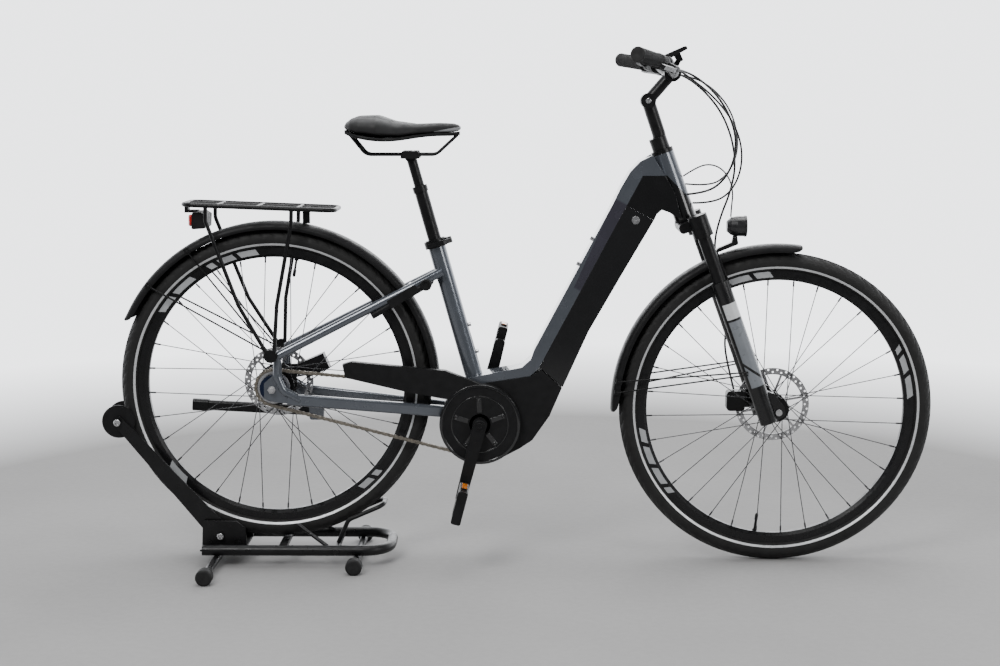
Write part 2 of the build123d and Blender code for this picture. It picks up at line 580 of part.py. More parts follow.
def pedal(px, pz, ux, uz, side):
    nx, nz = uz, -ux

    def at(along, across):
        return (px + ux * along + nx * across, pz + uz * along + nz * across)
    y_in, y_out = side * 92, side * 188
    body = plate([at(-38, -11), at(38, -11), at(38, 11), at(-38, 11)], min(y_in, y_out),
                 max(y_in, y_out), 5)
    for y in (116, 164):
        hole = [at(-26, -20), at(-12, -20), at(-12, 20), at(-26, 20)]
        other = [at(12, -20), at(26, -20), at(26, 20), at(12, 20)]
        for outline in (hole, other):
            body -= plate(outline, side * y - 16, side * y + 16)
    body += disc_y(px, pz, PEDAL_AXLE_R, side * 66, side * 92)
    for along in (-1, 1):
        refl = [at(along * 38.2, -7), at(along * 41, -7), at(along * 41, 7), at(along * 38.2, 7)]
        body += plate(refl, side * 140 - 22, side * 140 + 22)
    return body


PEDAL_AXLE_R = 7.0
drive()

# ---------------------------------------------------------------- mudguards, rack, lights, brakes at the rear
def rear_fittings():
    blade = arc_band(0, REAR_Z, MUDGUARD_R, MUDGUARD_THICK, MUDGUARD_HALF, 0, 156)
    stays = []
    for angle in (141, 122):
        a = radians(angle)
        edge_r = MUDGUARD_R - 8
        start = (edge_r * cos(a), -MUDGUARD_HALF - 2.2, REAR_Z + edge_r * sin(a))
        stays.append(both_sides(rod([start, (-6, -60, 489)], 2.0)))
    parts["rear_mudguard"] = blade + stays[0] + stays[1]

    rear, front, half = -196.0, 145.0, RACK_HALF
    slope = (RACK_REAR_Z - RACK_FRONT_Z) / (rear - front)

    def deck(x, y, drop=0.0):
        return (x, y, RACK_REAR_Z + (x - rear) * slope - drop)
    rack = rod([deck(0, -half), deck(rear, -half), deck(rear, half), deck(0, half)], RACK_R, 26.0)
    rack += rod([deck(0, -half), deck(front, -half), deck(front, half), deck(0, half)], RACK_R, 26.0)
    for y in (-24, 24):
        rack += rod([deck(rear, y), deck(front, y)], 3.5)
    for x in (-120, -30, 60):
        rack += rod([deck(x, -half), deck(x, half)], 4.2)
    for top_x, foot_x in ((-143, -8), (49, 8)):
        leg = rod([deck(top_x, -half), deck(top_x - 1, -half, 34), (top_x * 0.45 - 8, -half - 10, 600),
                   (foot_x, -STAY_Y - 15.2, 492)], RACK_R - 0.5, 30.0)
        rack += both_sides(leg)
    rack += both_sides(disc_y(0, 487, 15, -STAY_Y - 19, -STAY_Y - 10.3))
    x = 75
    top = REAR_Z + sqrt((MUDGUARD_R + MUDGUARD_THICK) ** 2 - x ** 2) + 1.5
    rack += box(x - 8, x + 8, -26, 26, deck(x, 0)[2] - 2, deck(x, 0)[2] + 1) + box(x - 8, x + 8, -5,
                                                                                   5, top,
                                                                                   deck(x, 0)[2])
    parts["rear_rack"] = rack

    lamp = plate([(-180, 768), (-149, 770), (-147, 800), (-158, 807), (-178, 806)], -40, 40, 4)
    bracket = box(-200, -170, -12, 12, 804, 810) + box(-200, -192, -12, 12, 806, 825)
    parts["tail_light"] = (lamp + bracket) - rack

    a = radians(24)
    body = Pos(93 * cos(a), 45.5, REAR_Z + 93 * sin(a)) * Rot(0, -24, 0) * Box(58, 30, 38)
    body -= disc_y(0, REAR_Z, REAR_ROTOR_R + 3, ROTOR_Y - 2.2, ROTOR_Y + 2.2)
    body += plate([(16, 446), (16, 420), (60, 420), (100, 430), (96, 450)], 56, 62.3)
    parts["rear_caliper"] = body


RACK_HALF, RACK_R = 62.0, 5.0
RACK_REAR_Z, RACK_FRONT_Z = 825.0, 812.0
rear_fittings()


def kickstand():
    out = Vector(*KICK_OUT)
    back = Vector(*KICK_BACK)
    pivot = Vector(KICK_X, KICK_Y, KICK_Z)
    pin = Plane(origin=pivot - out * 6, z_dir=out) * Pos(0, 0, 19) * Cylinder(5, 38)
    parts["chain_stays"] += pin
    hub = Plane(origin=pivot + out * 19, z_dir=out) * (Cylinder(15, 24) - Cylinder(5 + GAP, 30))
    centre = pivot + out * 19
    start = centre + back * 13
    end = centre + back * KICK_LENGTH
    leg = beam(tuple(start), tuple(end), 17, 24, 7)
    foot = beam(tuple(end - back * 34), tuple(end + back * 4), 22, 28, 8)
    parts["kickstand_leg"] = hub + leg + foot


KICK_OUT = (0.0155, 0.9506, 0.3100)
KICK_BACK = (-0.99875, 0.0, 0.04994)
KICK_LENGTH = 292.0
kickstand()


# ---------------------------------------------------------------- fork and front fittings
def fork():
    steerer = barrel(STEER, CROWN_TOP - 6, STEERER_TOP, STEERER_R)
    crown = STEER * Pos(-2, 0, CROWN_TOP - 11) * Box(46, 2 * LEG_Y - 10, 22)
    crown = fillet(crown.edges().filter_by(Axis.Y), 8)
    for side in (-1, 1):
        crown += barrel(STEER, CROWN_TOP - 42, CROWN_TOP + 8, 22, 0, LEG_AHEAD, side * LEG_Y)
        crown += barrel(STEER, STANCHION_FOOT, CROWN_TOP - 10, STANCHION_R, 0, LEG_AHEAD, side * LEG_Y)
    parts["fork_crown"] = steerer + crown

    ax, az = WHEEL_BASE, FRONT_Z
    lx, _, lz = steer(LEG_AHEAD, AXLE_UP)
    lowers = None
    for side in (-1, 1):
        leg = barrel(STEER, LOWER_FOOT, SEAL_S, LOWER_R, 0, LEG_AHEAD, side * LEG_Y)
        y0, y1 = sorted((side * (LEG_Y - LOWER_R + 1), side * (LEG_Y + 2)))
        lug = plate([(lx - 10, lz + 60), (lx + 16, lz + 52), (ax + 12, az + 14), (ax + 16, az - 6),
                     (ax, az - 18), (lx - 6, lz - 22)], y0, y1, 5)
        leg += lug
        leg -= barrel(STEER, STANCHION_FOOT - FORK_TRAVEL - 12, SEAL_S + 5, STANCHION_R + GAP, 0,
                      LEG_AHEAD, side * LEG_Y)
        lowers = leg if lowers is None else lowers + leg
    arch_points = [(-LEG_Y, SEAL_S - 25), (-LEG_Y, SEAL_S - 3), (-38, ARCH_S + 4), (38, ARCH_S + 4),
                   (LEG_Y, SEAL_S - 3), (LEG_Y, SEAL_S - 25), (LEG_Y - 16, SEAL_S - 25),
                   (33, ARCH_S - 12),
                   (-33, ARCH_S - 12), (16 - LEG_Y, SEAL_S - 25)]
    arch_face = Plane.YZ * make_face(Polyline(*arch_points, close=True))
    arch = STEER * Pos(LEG_AHEAD + 4, 0, 0) * extrude(arch_face, 16, dir=(1, 0, 0))
    for side in (-1, 1):
        arch -= barrel(STEER, SEAL_S - 80, SEAL_S + 40, STANCHION_R + 2.5, 0, LEG_AHEAD, side * LEG_Y)
    lowers += arch
    lowers += box(1066, 1096, LEG_Y - 1.5, LEG_Y + 5, 345, 385)
    lowers -= disc_y(ax, az, MUDGUARD_R + MUDGUARD_THICK + SEAT_GAP, -35, 35)
    lowers -= disc_y(ax, az, FRONT_AXLE_R + GAP, -100, 100)
    parts["fork_lowers"] = lowers

    out = LEG_Y + LOWER_R + 1
    axle = disc_y(ax, az, FRONT_AXLE_R, -LEG_Y - 2 - GAP, LEG_Y + 2 + GAP)
    axle += disc_y(ax, az, 7.5, -LEG_Y - 8, -LEG_Y - 2 - GAP)
    axle += disc_y(ax, az, 7.5, LEG_Y + 2 + GAP, out + 6)
    handle = plate([(ax + 8, az - 6), (ax - 8, az + 8), (ax - 26, az + 68), (ax - 14, az + 72),
                    (ax + 4, az + 20)],
                   out, out + 6, 3)
    parts["front_axle"] = axle + handle

    blade = arc_band(ax, az, MUDGUARD_R, MUDGUARD_THICK, MUDGUARD_HALF, 82, 181)
    leg_x, _, leg_z = steer(LEG_AHEAD - LOWER_R * 0.5, -450)
    wires = []
    for angle in (174, 170):
        a = radians(angle)
        edge_r = MUDGUARD_R - 8
        start = (ax + edge_r * cos(a), -MUDGUARD_HALF - 2.1, az + edge_r * sin(a))
        wires.append(both_sides(rod([start, (leg_x, -LEG_Y - 19, leg_z + (174 - angle) * 1.5)], 1.8)))
    blade += wires[0] + wires[1]
    parts["front_mudguard"] = blade - lowers

    a = 85.0
    body = Pos(ax - a, 45, az + 8) * Box(42, 30, 46)
    body = fillet(body.edges().filter_by(Axis.Y), 8)
    body -= disc_y(ax, az, FRONT_ROTOR_R + 3, ROTOR_Y - 2.2, ROTOR_Y + 2.2)
    parts["front_caliper"] = body - box(1066, 1096, LEG_Y - 1.7, LEG_Y + 5, 300, 420)


STEERER_TOP = HEAD_HALF + 32
STANCHION_FOOT = SEAL_S - 130
LOWER_FOOT = -573.0
AXLE_UP = -558.0
ARCH_S = -170.0
fork()


def lamp():
    x, z = LAMP_X, LAMP_Z
    profile = [(0, -20), (12, -19), (20, -10), (23, 4), (23, 24), (0, 24)]
    face = make_face(Polyline(*[(b, a) for a, b in [(p[0], p[1]) for p in profile]], close=True))
    body = Pos(x, 0, z) * revolve(face, Axis.X)
    ear = plate([(x - 5, z - 18), (x + 5, z - 18), (x + 5, z - 27), (x - 5, z - 27)], -4, 4)
    ear += disc_y(x, z - 28, 6, -4, 4)
    ear -= disc_y(x, z - 28, 2.5 + GAP, -10, 10)
    parts["headlight"] = body + ear
    ax, _, az = steer(LEG_AHEAD + 20, ARCH_S - 4)
    arm = both_sides(plate([(x - 7, z - 36), (x + 7, z - 36), (x + 5, z - 26), (x - 5, z - 26)],
                           -7.5, -4 - GAP))
    arm += disc_y(x, z - 28, 2.5, -9, 9)
    arm += plate([(ax - 4, az - 4), (ax - 4, az + 5), (x - 7, z - 36), (x + 7, z - 36),
                  (x + 7, z - 41)], -7.5, 7.5)
    parts["fork_lowers"] += arm


LAMP_X, LAMP_Z = 1046.0, 773.0
lamp()


# ---------------------------------------------------------------- cockpit
def cockpit():
    col_foot = steer(0, STEERER_TOP - 6)
    knee = (846.0, 0.0, 1054.0)
    clamp = (CLAMP_X, 0.0, CLAMP_Z)
    stem = barrel(STEER, HEAD_HALF + 9 + SEAT_GAP, STEERER_TOP + 6, 20)
    stem += rod([col_foot, (873, 0, 975), knee], 15.0, 40.0)
    stem += disc_y(knee[0], knee[2], 17, -17, 17)
    stem += rod([knee, clamp], 13.0)
    stem += disc_y(clamp[0], clamp[2], 19, -23, 23)
    lug = plate([(CLAMP_X - 4, CLAMP_Z + 14), (CLAMP_X + 12, CLAMP_Z + 12), (SCREEN_X + 5, SCREEN_Z),
                 (SCREEN_X - 5, SCREEN_Z + 2)], -6, 6)
    stem += lug + disc_y(SCREEN_X, SCREEN_Z, 6, -6, 6)
    stem -= barrel(STEER, 0, STEERER_TOP + 0.5, STEERER_R + SEAT_GAP)
    stem -= disc_y(CLAMP_X, CLAMP_Z, BAR_R + SEAT_GAP, -60, 60)
    stem -= disc_y(SCREEN_X, SCREEN_Z, 2.5 + GAP, -60, 60)
    parts["stem"] = stem

    path = [(CLAMP_X, 0, CLAMP_Z), (CLAMP_X, 48, CLAMP_Z), bar_point(-26), bar_point(BAR_END)]
    half = rod(path, BAR_R, 36.0, BAR_R - 2)
    parts["handlebar"] = both_sides(half)

    grip = bar_tube(GRIP_START, GRIP_START + GRIP_LENGTH - 2, GRIP_R, BAR_R + SEAT_GAP)
    grip += bar_tube(BAR_END + 0.2, GRIP_START + GRIP_LENGTH + 2, GRIP_R)
    grip += bar_tube(GRIP_START + GRIP_LENGTH - 2, BAR_END + 0.2, GRIP_R, BAR_R + SEAT_GAP)
    parts["grips"] = both_sides(grip)

    perch = bar_tube(-7, 7, 15.5, BAR_R + SEAT_GAP)
    perch += BAR * Pos(27, 0, 4) * Cylinder(8, 38)
    perch += BAR * Pos(18, 0, 0) * Box(12, 10, 12)
    for side in (-1, 1):
        perch += BAR * Pos(33, side * 7, 26) * Box(18, 3, 24)
    perch += BAR * Pos(PIVOT_B, 0, PIVOT_A) * Rot(90, 0, 0) * Cylinder(2.5, 16)
    perch += bar_tube(-20, -7, 17, BAR_R + SEAT_GAP)
    perch -= bar_tube(-30, 60, BAR_R + SEAT_GAP)
    remote = bar_tube(12, 26, 14.5, BAR_R + SEAT_GAP) + BAR * Pos(-20, 0, 19) * Box(14, 24, 22)
    remote -= BAR * Pos(-24, 0, 19) * Rot(0, 90, 0) * Cylinder(5 + GAP, 12)
    remote -= bar_tube(-12, 60, BAR_R + SEAT_GAP)
    parts["brake_perches"] = both_sides(perch) + remote
    parts["remote_button"] = BAR * Pos(-25.5, 0, 19) * Rot(0, 90, 0) * Cylinder(5, 6)

    outline = [(30, 32), (38, 31), (60, 41), (132, 44), (139, 50), (132, 54), (58, 51), (30, 44)]
    blade = make_face(Polyline(*[(b, a) for a, b in outline], close=True))
    lever = BAR * Rot(90, 0, 0) * extrude(blade, 4.5, both=True)
    lever -= BAR * Pos(PIVOT_B, 0, PIVOT_A) * Rot(90, 0, 0) * Cylinder(2.5 + GAP, 30)
    parts["brake_lever_left"] = lever
    parts["brake_lever_right"] = mirror(lever, Plane.XZ)

    twist = bar_tube(9, GRIP_START - 1, 16.5, BAR_R + GAP)
    parts["shifter"] = mirror(twist, Plane.XZ)

    t = radians(28)
    ux, uz = cos(t), sin(t)

    def on(along, up):
        return (SCREEN_X + ux * along - uz * up, SCREEN_Z + uz * along + ux * up)
    body = plate([on(-28, 12), on(24, 12), on(24, 20), on(-28, 24)], -34, 34, 3)
    ears = both_sides(plate([on(-7, 13), on(7, 13), on(6, -6), on(-6, -6)], -11, -6 - GAP, 2))
    parts["display"] = body + ears + disc_y(SCREEN_X, SCREEN_Z, 2.5, -11, 11)


CLAMP_X, CLAMP_Z = 899.0, 1115.0
SCREEN_X, SCREEN_Z = 915.0, 1146.0
GRIP_START = 38.5
BAR_END = GRIP_START + GRIP_LENGTH - 2
PIVOT_A, PIVOT_B = 33.0, 37.0
BAR_POINT = Vector(867.8, 150.0, 1135.2)
BAR_OUT = Vector(-0.395, 0.9142, 0.0900).normalized()
BAR_FORE = (Vector(0.9, 0, -0.45) - BAR_OUT * Vector(0.9, 0, -0.45).dot(BAR_OUT)).normalized()
BAR = Plane(origin=BAR_POINT, x_dir=BAR_FORE, z_dir=BAR_OUT).location


def bar_point(along):
    return tuple(BAR_POINT + BAR_OUT * along)


def bar_tube(start, end, radius, bore=0.0):
    tube = BAR * Pos(0, 0, (start + end) / 2) * Cylinder(radius, end - start)
    if bore:
        tube -= BAR * Pos(0, 0, (start + end) / 2) * Cylinder(bore, end - start + 2)
    return tube


cockpit()


# ---------------------------------------------------------------- cables
def cable(name, points, radius):
    """A cable with the largest arcs that its runs allow; prints its radii and volume check."""
    pts = [Vector(*p) for p in points]
    radii = []
    for a, b, c in zip(pts, pts[1:], pts[2:]):
        turn = radians((b - a).get_angle(c - b))
        radii.append(0.45 * min((b - a).length, (c - b).length) / tan(turn / 2))
    path = FilletPolyline(*pts, radius=radii)
    tube = sweep(Plane(path @ 0, z_dir=path % 0) * Circle(radius), path=path)
    ratio = tube.volume / (pi * radius ** 2 * path.length)
    print(name, "length", round(path.length), "least radius", round(min(radii)), "volume ratio",
          round(ratio, 4))
    return tube


def port(z, y):
    """A cable entry on the front of the head tube."""
    x = HEAD_X - (z - HEAD_Z) * tan(radians(HEAD_TILT))
    return (x + (sqrt(HEAD_TUBE_R ** 2 - y ** 2) + 0.8 + abs(y) / 10) / cos(radians(HEAD_TILT)), y, z)


cables = {
    "front_brake": ([(895.5, 147, 1121.7), (913, 107, 1118), (944, 72, 1104), (982, 56, 1072),
                     (1018, 50, 1026),
                     (1042, 50, 968), (1052, 56, 906), (1042, 66, 846), (1022, 80, 790),
                     (1010, 94, 732),
                     (1016, 100, 674), (1028, 99, 616), (1038, 96, 562), (1040, 91, 520),
                     (1037, 83, 488),
                     (1041, 72, 458), (1048, 61, 424), (1056, 51, 389.6)], 2.5),
    "rear_brake": ([(895.5, -147, 1121.7), (914, -108, 1119), (946, -76, 1106), (986, -58, 1076),
                    (1020, -50, 1030),
                    (1040, -46, 974), (1036, -40, 918), (1012, -34, 874), (976, -26, 850),
                    port(846, -18)], 2.5),
    "shift": ([(887.4, -136.8, 1126.8), (903, -101, 1122), (936, -72, 1102), (982, -52, 1068),
               (1024, -40, 1022),
               (1052, -33, 966), (1056, -26, 906), (1036, -20, 854), (996, -14, 826),
               port(826, -8)], 2.2),
    "display_lead": ([(918.4, 14, 1111), (952, 24, 1106), (994, 32, 1082), (1030, 33, 1042),
                      (1050, 30, 990),
                      (1052, 24, 934), (1028, 18, 886), (988, 12, 862), port(868, 8)], 2.0),
    "lamp_lead": ([port(886, -5), (950, -8, 902), (980, -8, 914), (1010, -6, 906), (1032, -4, 880),
                   (1040, -2, 846), (1037, 0, 818), (1036, 0.4, 793.9)], 1.8),
}
parts["cables"] = Compound(children=[cable(name, *route) for name, route in cables.items()])

for node, solid in parts.items():
    export_step(Pos(-ORIGIN_X, 0, 0) * solid, f"parts/{node}.step")
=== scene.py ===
import json
import math

import bpy
from mathutils import Matrix, Vector


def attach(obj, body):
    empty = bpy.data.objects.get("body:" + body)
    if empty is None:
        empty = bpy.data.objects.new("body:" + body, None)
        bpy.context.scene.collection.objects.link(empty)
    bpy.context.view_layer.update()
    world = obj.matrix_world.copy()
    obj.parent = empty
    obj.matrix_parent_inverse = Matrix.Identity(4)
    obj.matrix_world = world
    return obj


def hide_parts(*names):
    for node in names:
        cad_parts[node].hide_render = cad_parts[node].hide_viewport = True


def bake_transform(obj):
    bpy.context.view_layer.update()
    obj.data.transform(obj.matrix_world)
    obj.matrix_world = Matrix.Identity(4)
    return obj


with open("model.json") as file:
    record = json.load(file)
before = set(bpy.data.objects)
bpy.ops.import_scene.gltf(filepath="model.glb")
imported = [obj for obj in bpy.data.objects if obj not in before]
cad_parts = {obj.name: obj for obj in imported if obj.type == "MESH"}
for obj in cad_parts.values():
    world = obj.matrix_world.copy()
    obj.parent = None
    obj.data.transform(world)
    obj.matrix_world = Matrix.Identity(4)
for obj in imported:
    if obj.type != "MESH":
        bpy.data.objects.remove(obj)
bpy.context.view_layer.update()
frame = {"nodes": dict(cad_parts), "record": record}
NODES = frame["nodes"]

ORIGIN_X = 551.0
REAR = Vector((0.0, 0.0, 409.0))
FRONT = Vector((1144.0, 0.0, 357.0))
CRANK = Vector((469.0, 0.0, 327.0))
HEAD = Vector((907.0, 0.0, 864.5))
HEAD_TILT = math.radians(20.0)
HEAD_TUBE_R = 25.0
DOWN_TILT = math.radians(28.0)
DOWN_TOP = 290.5
BAR_POINT = Vector((867.8, 150.0, 1135.2))
BAR_OUT = Vector((-0.395, 0.9142, 0.09)).normalized()


def row(p):
    """A point in design millimetres, as metres in the row frame."""
    return Vector(((p[0] - ORIGIN_X) / 1000, p[1] / 1000, p[2] / 1000))


# ---------------------------------------------------------------- materials
class Tree:
    """Short calls for building a node tree."""

    def __init__(self, tree, coordinates):
        self.tree = tree
        self.place = tree.nodes.new("ShaderNodeTexCoord").outputs[coordinates]

    def put(self, socket, value):
        if isinstance(value, bpy.types.NodeSocket):
            self.tree.links.new(value, socket)
        elif value is not None:
            socket.default_value = value

    def math(self, operation, a, b=None):
        node = self.tree.nodes.new("ShaderNodeMath")
        node.operation = operation
        self.put(node.inputs[0], a)
        self.put(node.inputs[1], b)
        return node.outputs[0]

    def span(self, value, low, high, out_low=0.0, out_high=1.0):
        node = self.tree.nodes.new("ShaderNodeMapRange")
        for k, v in enumerate((value, low, high, out_low, out_high)):
            self.put(node.inputs[k], v)
        return node.outputs[0]

    def noise(self, scale, detail=3.0):
        node = self.tree.nodes.new("ShaderNodeTexNoise")
        self.put(node.inputs["Vector"], self.place)
        node.inputs["Scale"].default_value = scale
        node.inputs["Detail"].default_value = detail
        return node.outputs["Fac"]

    def cells(self, scale):
        node = self.tree.nodes.new("ShaderNodeTexVoronoi")
        self.put(node.inputs["Vector"], self.place)
        node.inputs["Scale"].default_value = scale
        return node.outputs["Distance"]

    def mix(self, factor, a, b):
        node = self.tree.nodes.new("ShaderNodeMix")
        node.data_type = "RGBA"
        self.put(node.inputs[0], factor)
        for socket, value in ((node.inputs[6], a), (node.inputs[7], b)):
            self.put(socket, (*value, 1.0) if isinstance(value, tuple) else value)
        return node.outputs[2]

    def axes(self):
        """Design millimetres x, y and z of the rest pose."""
        node = self.tree.nodes.new("ShaderNodeSeparateXYZ")
        self.put(node.inputs[0], self.place)
        x, y, z = (self.math("MULTIPLY", node.outputs[k], 1000.0) for k in range(3))
        return self.math("ADD", x, ORIGIN_X), y, z

    def along(self, ax, az, shift):
        """ax * x + az * z + shift, in design millimetres."""
        x, _, z = self.axes()
        total = self.math("ADD", self.math("MULTIPLY", x, ax), self.math("MULTIPLY", z, az))
        return self.math("ADD", total, shift)


class Nodes(Tree):
    """The node tree of a new material."""

    def __init__(self, name):
        self.material = bpy.data.materials.new(name)
        self.material.use_nodes = True
        super().__init__(self.material.node_tree, "Object")
        self.shader = self.tree.nodes["Principled BSDF"]


WEAR_HIGHLIGHT_WIDTH = 2.2            # width of the pale rim, which is wear and painted edge highlight, in rounding radii
GRAIN_DEPTH = 0.0004        # metres


def surface(name, color, rough, metal=0.0, vary=0.2, scale=45.0, grain=900.0, bump=0.1,
            coat=0.0, edge=0.25, round_edge=0.0006, paint=None, cell=False, rough_spread=0.1,
            specular=0.35):
    """A material with cloudy colour, uneven gloss, a fine grain, rounded edges, and a pale rim on the edges
    that is partly wear and partly a painted highlight.

    Lengths are in metres; scale and grain are cells per metre; vary, bump and edge are shares, edge being
    the share of the pale rim of wear and painted edge highlight."""
    n = Nodes(name)
    base = paint(n) if paint else n.mix(0.0, color, color)
    shade = n.span(n.noise(scale, 4.0), 0.3, 0.7, 1.0 - vary, 1.0 + vary)
    hue = n.tree.nodes.new("ShaderNodeVectorMath")
    hue.operation = "SCALE"
    n.put(hue.inputs[0], base)
    n.put(hue.inputs["Scale"], shade)
    bevel = n.tree.nodes.new("ShaderNodeBevel")
    bevel.samples = 4
    bevel.inputs["Radius"].default_value = round_edge
    wide = n.tree.nodes.new("ShaderNodeBevel")
    wide.samples = 4
    wide.inputs["Radius"].default_value = round_edge * WEAR_HIGHLIGHT_WIDTH
    geometry = n.tree.nodes.new("ShaderNodeNewGeometry")
    turn = n.tree.nodes.new("ShaderNodeVectorMath")
    turn.operation = "DOT_PRODUCT"
    n.put(turn.inputs[0], wide.outputs[0])
    n.put(turn.inputs[1], geometry.outputs["Normal"])
    rim = n.span(turn.outputs["Value"], 0.97, 0.75, 0.0, 1.0)
    # pale rim on the edges: partly wear, partly a painted edge highlight
    wear_and_highlight = n.math("MULTIPLY", n.math("MULTIPLY", rim, n.span(n.noise(220.0), 0.4, 0.65)), edge)
    pale = tuple(min(1.0, c * 1.6 + 0.02) for c in color)
    n.put(n.shader.inputs["Base Color"], n.mix(wear_and_highlight, hue.outputs[0], pale))
    smear = n.span(n.noise(scale * 1.7, 5.0), 0.3, 0.7, rough - rough_spread, rough + rough_spread)
    n.put(n.shader.inputs["Roughness"], n.math("MAXIMUM", smear, 0.05))
    n.shader.inputs["Metallic"].default_value = metal
    n.shader.inputs["Specular IOR Level"].default_value = specular
    n.shader.inputs["Coat Weight"].default_value = coat
    n.shader.inputs["Coat Roughness"].default_value = 0.06
    relief = n.tree.nodes.new("ShaderNodeBump")
    relief.inputs["Strength"].default_value = bump
    relief.inputs["Distance"].default_value = GRAIN_DEPTH
    n.put(relief.inputs["Height"], n.cells(grain) if cell else n.noise(grain, 2.0))
    n.put(relief.inputs["Normal"], bevel.outputs[0])
    n.put(n.shader.inputs["Normal"], relief.outputs[0])
    if coat:
        n.put(n.shader.inputs["Coat Normal"], bevel.outputs[0])
    return n.material


GREY = (0.1, 0.111, 0.13)
BLACK = (0.004, 0.004, 0.0045)
BLACK_OUT = 29.0            # paint further out than this from the down tube's line is black
BLACK_TOP = 888.2           # height where the black ends
BLACK_FRONT = 1777.1        # x + z where the black ends before the head tube
BLACK_START = 640.5         # along the tube
FLASH_START, FLASH_END = 882.0, 1102.0
LABEL_TOP, LABEL_END = -283.5, -319.5     # along the fork, from HEAD
PANEL_TOP, PANEL_END = -325.0, -483.0
NOSE_X = 367.0              # the grey panel on the saddle starts here


def band(n, value, low, high, soft=1.0):
    """1 between low and high, 0 outside, with a soft step at each end."""
    rise = n.span(value, low - soft / 2, low + soft / 2)
    return n.math("MULTIPLY", rise, n.span(value, high + soft / 2, high - soft / 2))


def frame_paint(n):
    """Slate grey, with gloss black on the outer face of the down tube and a darker flash."""
    c, s = math.cos(DOWN_TILT), math.sin(DOWN_TILT)
    out = n.along(c, -s, -DOWN_TOP)
    along = n.along(s, c, 0.0)
    x, _, z = n.axes()
    black = n.span(out, BLACK_OUT - 0.3, BLACK_OUT + 0.3)
    black = n.math("MULTIPLY", black, n.span(z, BLACK_TOP + 0.4, BLACK_TOP - 0.4))
    front = n.span(n.math("ADD", x, z), BLACK_FRONT + 0.5, BLACK_FRONT - 0.5)
    black = n.math("MULTIPLY", black, front)
    black = n.math("MULTIPLY", black, n.span(along, BLACK_START - 0.5, BLACK_START + 0.5))
    flash = band(n, along, FLASH_START, FLASH_END, 4.0)
    slant = n.math("ADD", out, n.math("MULTIPLY", n.math("SUBTRACT", along, FLASH_START + 2.0), 0.06))
    flash = n.math("MULTIPLY", flash, n.span(slant, 11.0, 12.0))
    sheen = n.mix(n.math("MULTIPLY", flash, 0.75), GREY, (0.04, 0.033, 0.052))
    return n.mix(black, sheen, BLACK)


def fork_paint(n):
    """Black at the top, a pale label, a slate panel with slanted lines, and a black foot."""
    s_axis = (-math.sin(HEAD_TILT), math.cos(HEAD_TILT))
    s = n.along(s_axis[0], s_axis[1], -(HEAD.x * s_axis[0] + HEAD.z * s_axis[1]))
    f_axis = (math.cos(HEAD_TILT), math.sin(HEAD_TILT))
    f = n.along(f_axis[0], f_axis[1], -(HEAD.x * f_axis[0] + HEAD.z * f_axis[1]) - 21.0)
    panel = band(n, s, PANEL_END, PANEL_TOP, 2.0)
    panel = n.math("MULTIPLY", panel, n.span(f, -13.0, -12.0))
    line = n.math("ADD", s, n.math("MULTIPLY", f, 1.3))
    stripe = n.math("MULTIPLY", n.span(line, -447.0, -446.0), n.span(line, -437.0, -438.0))
    panel = n.math("MULTIPLY", panel, n.math("SUBTRACT", 1.0, stripe))
    label = band(n, s, LABEL_END, LABEL_TOP)
    label = n.math("MULTIPLY", label, n.span(f, -14.0, -13.0))
    base = n.mix(panel, BLACK, (0.2, 0.215, 0.235))
    return n.mix(label, base, (0.62, 0.63, 0.64))


def axle_paint(n):
    """Dark blue cable joint round a bright axle."""
    x, _, z = n.axes()
    dx, dz = n.math("SUBTRACT", x, REAR.x), n.math("SUBTRACT", z, REAR.z)
    squares = n.math("ADD", n.math("MULTIPLY", dx, dx), n.math("MULTIPLY", dz, dz))
    return n.mix(n.span(squares, 140.0, 150.0), (0.5, 0.5, 0.51), (0.012, 0.02, 0.05))


def saddle_paint(n):
    """Black cover with a silver-grey panel low on each side of the nose."""
    x, _, z = n.axes()
    line = n.math("SUBTRACT", z, n.math("MULTIPLY", n.math("SUBTRACT", x, NOSE_X + 5.0), 0.18))
    low = n.math("MULTIPLY", n.span(line, 988.0, 987.0), n.span(x, NOSE_X - 1.0, NOSE_X + 1.0))
    return n.mix(low, (0.012, 0.012, 0.0125), (0.27, 0.275, 0.285))


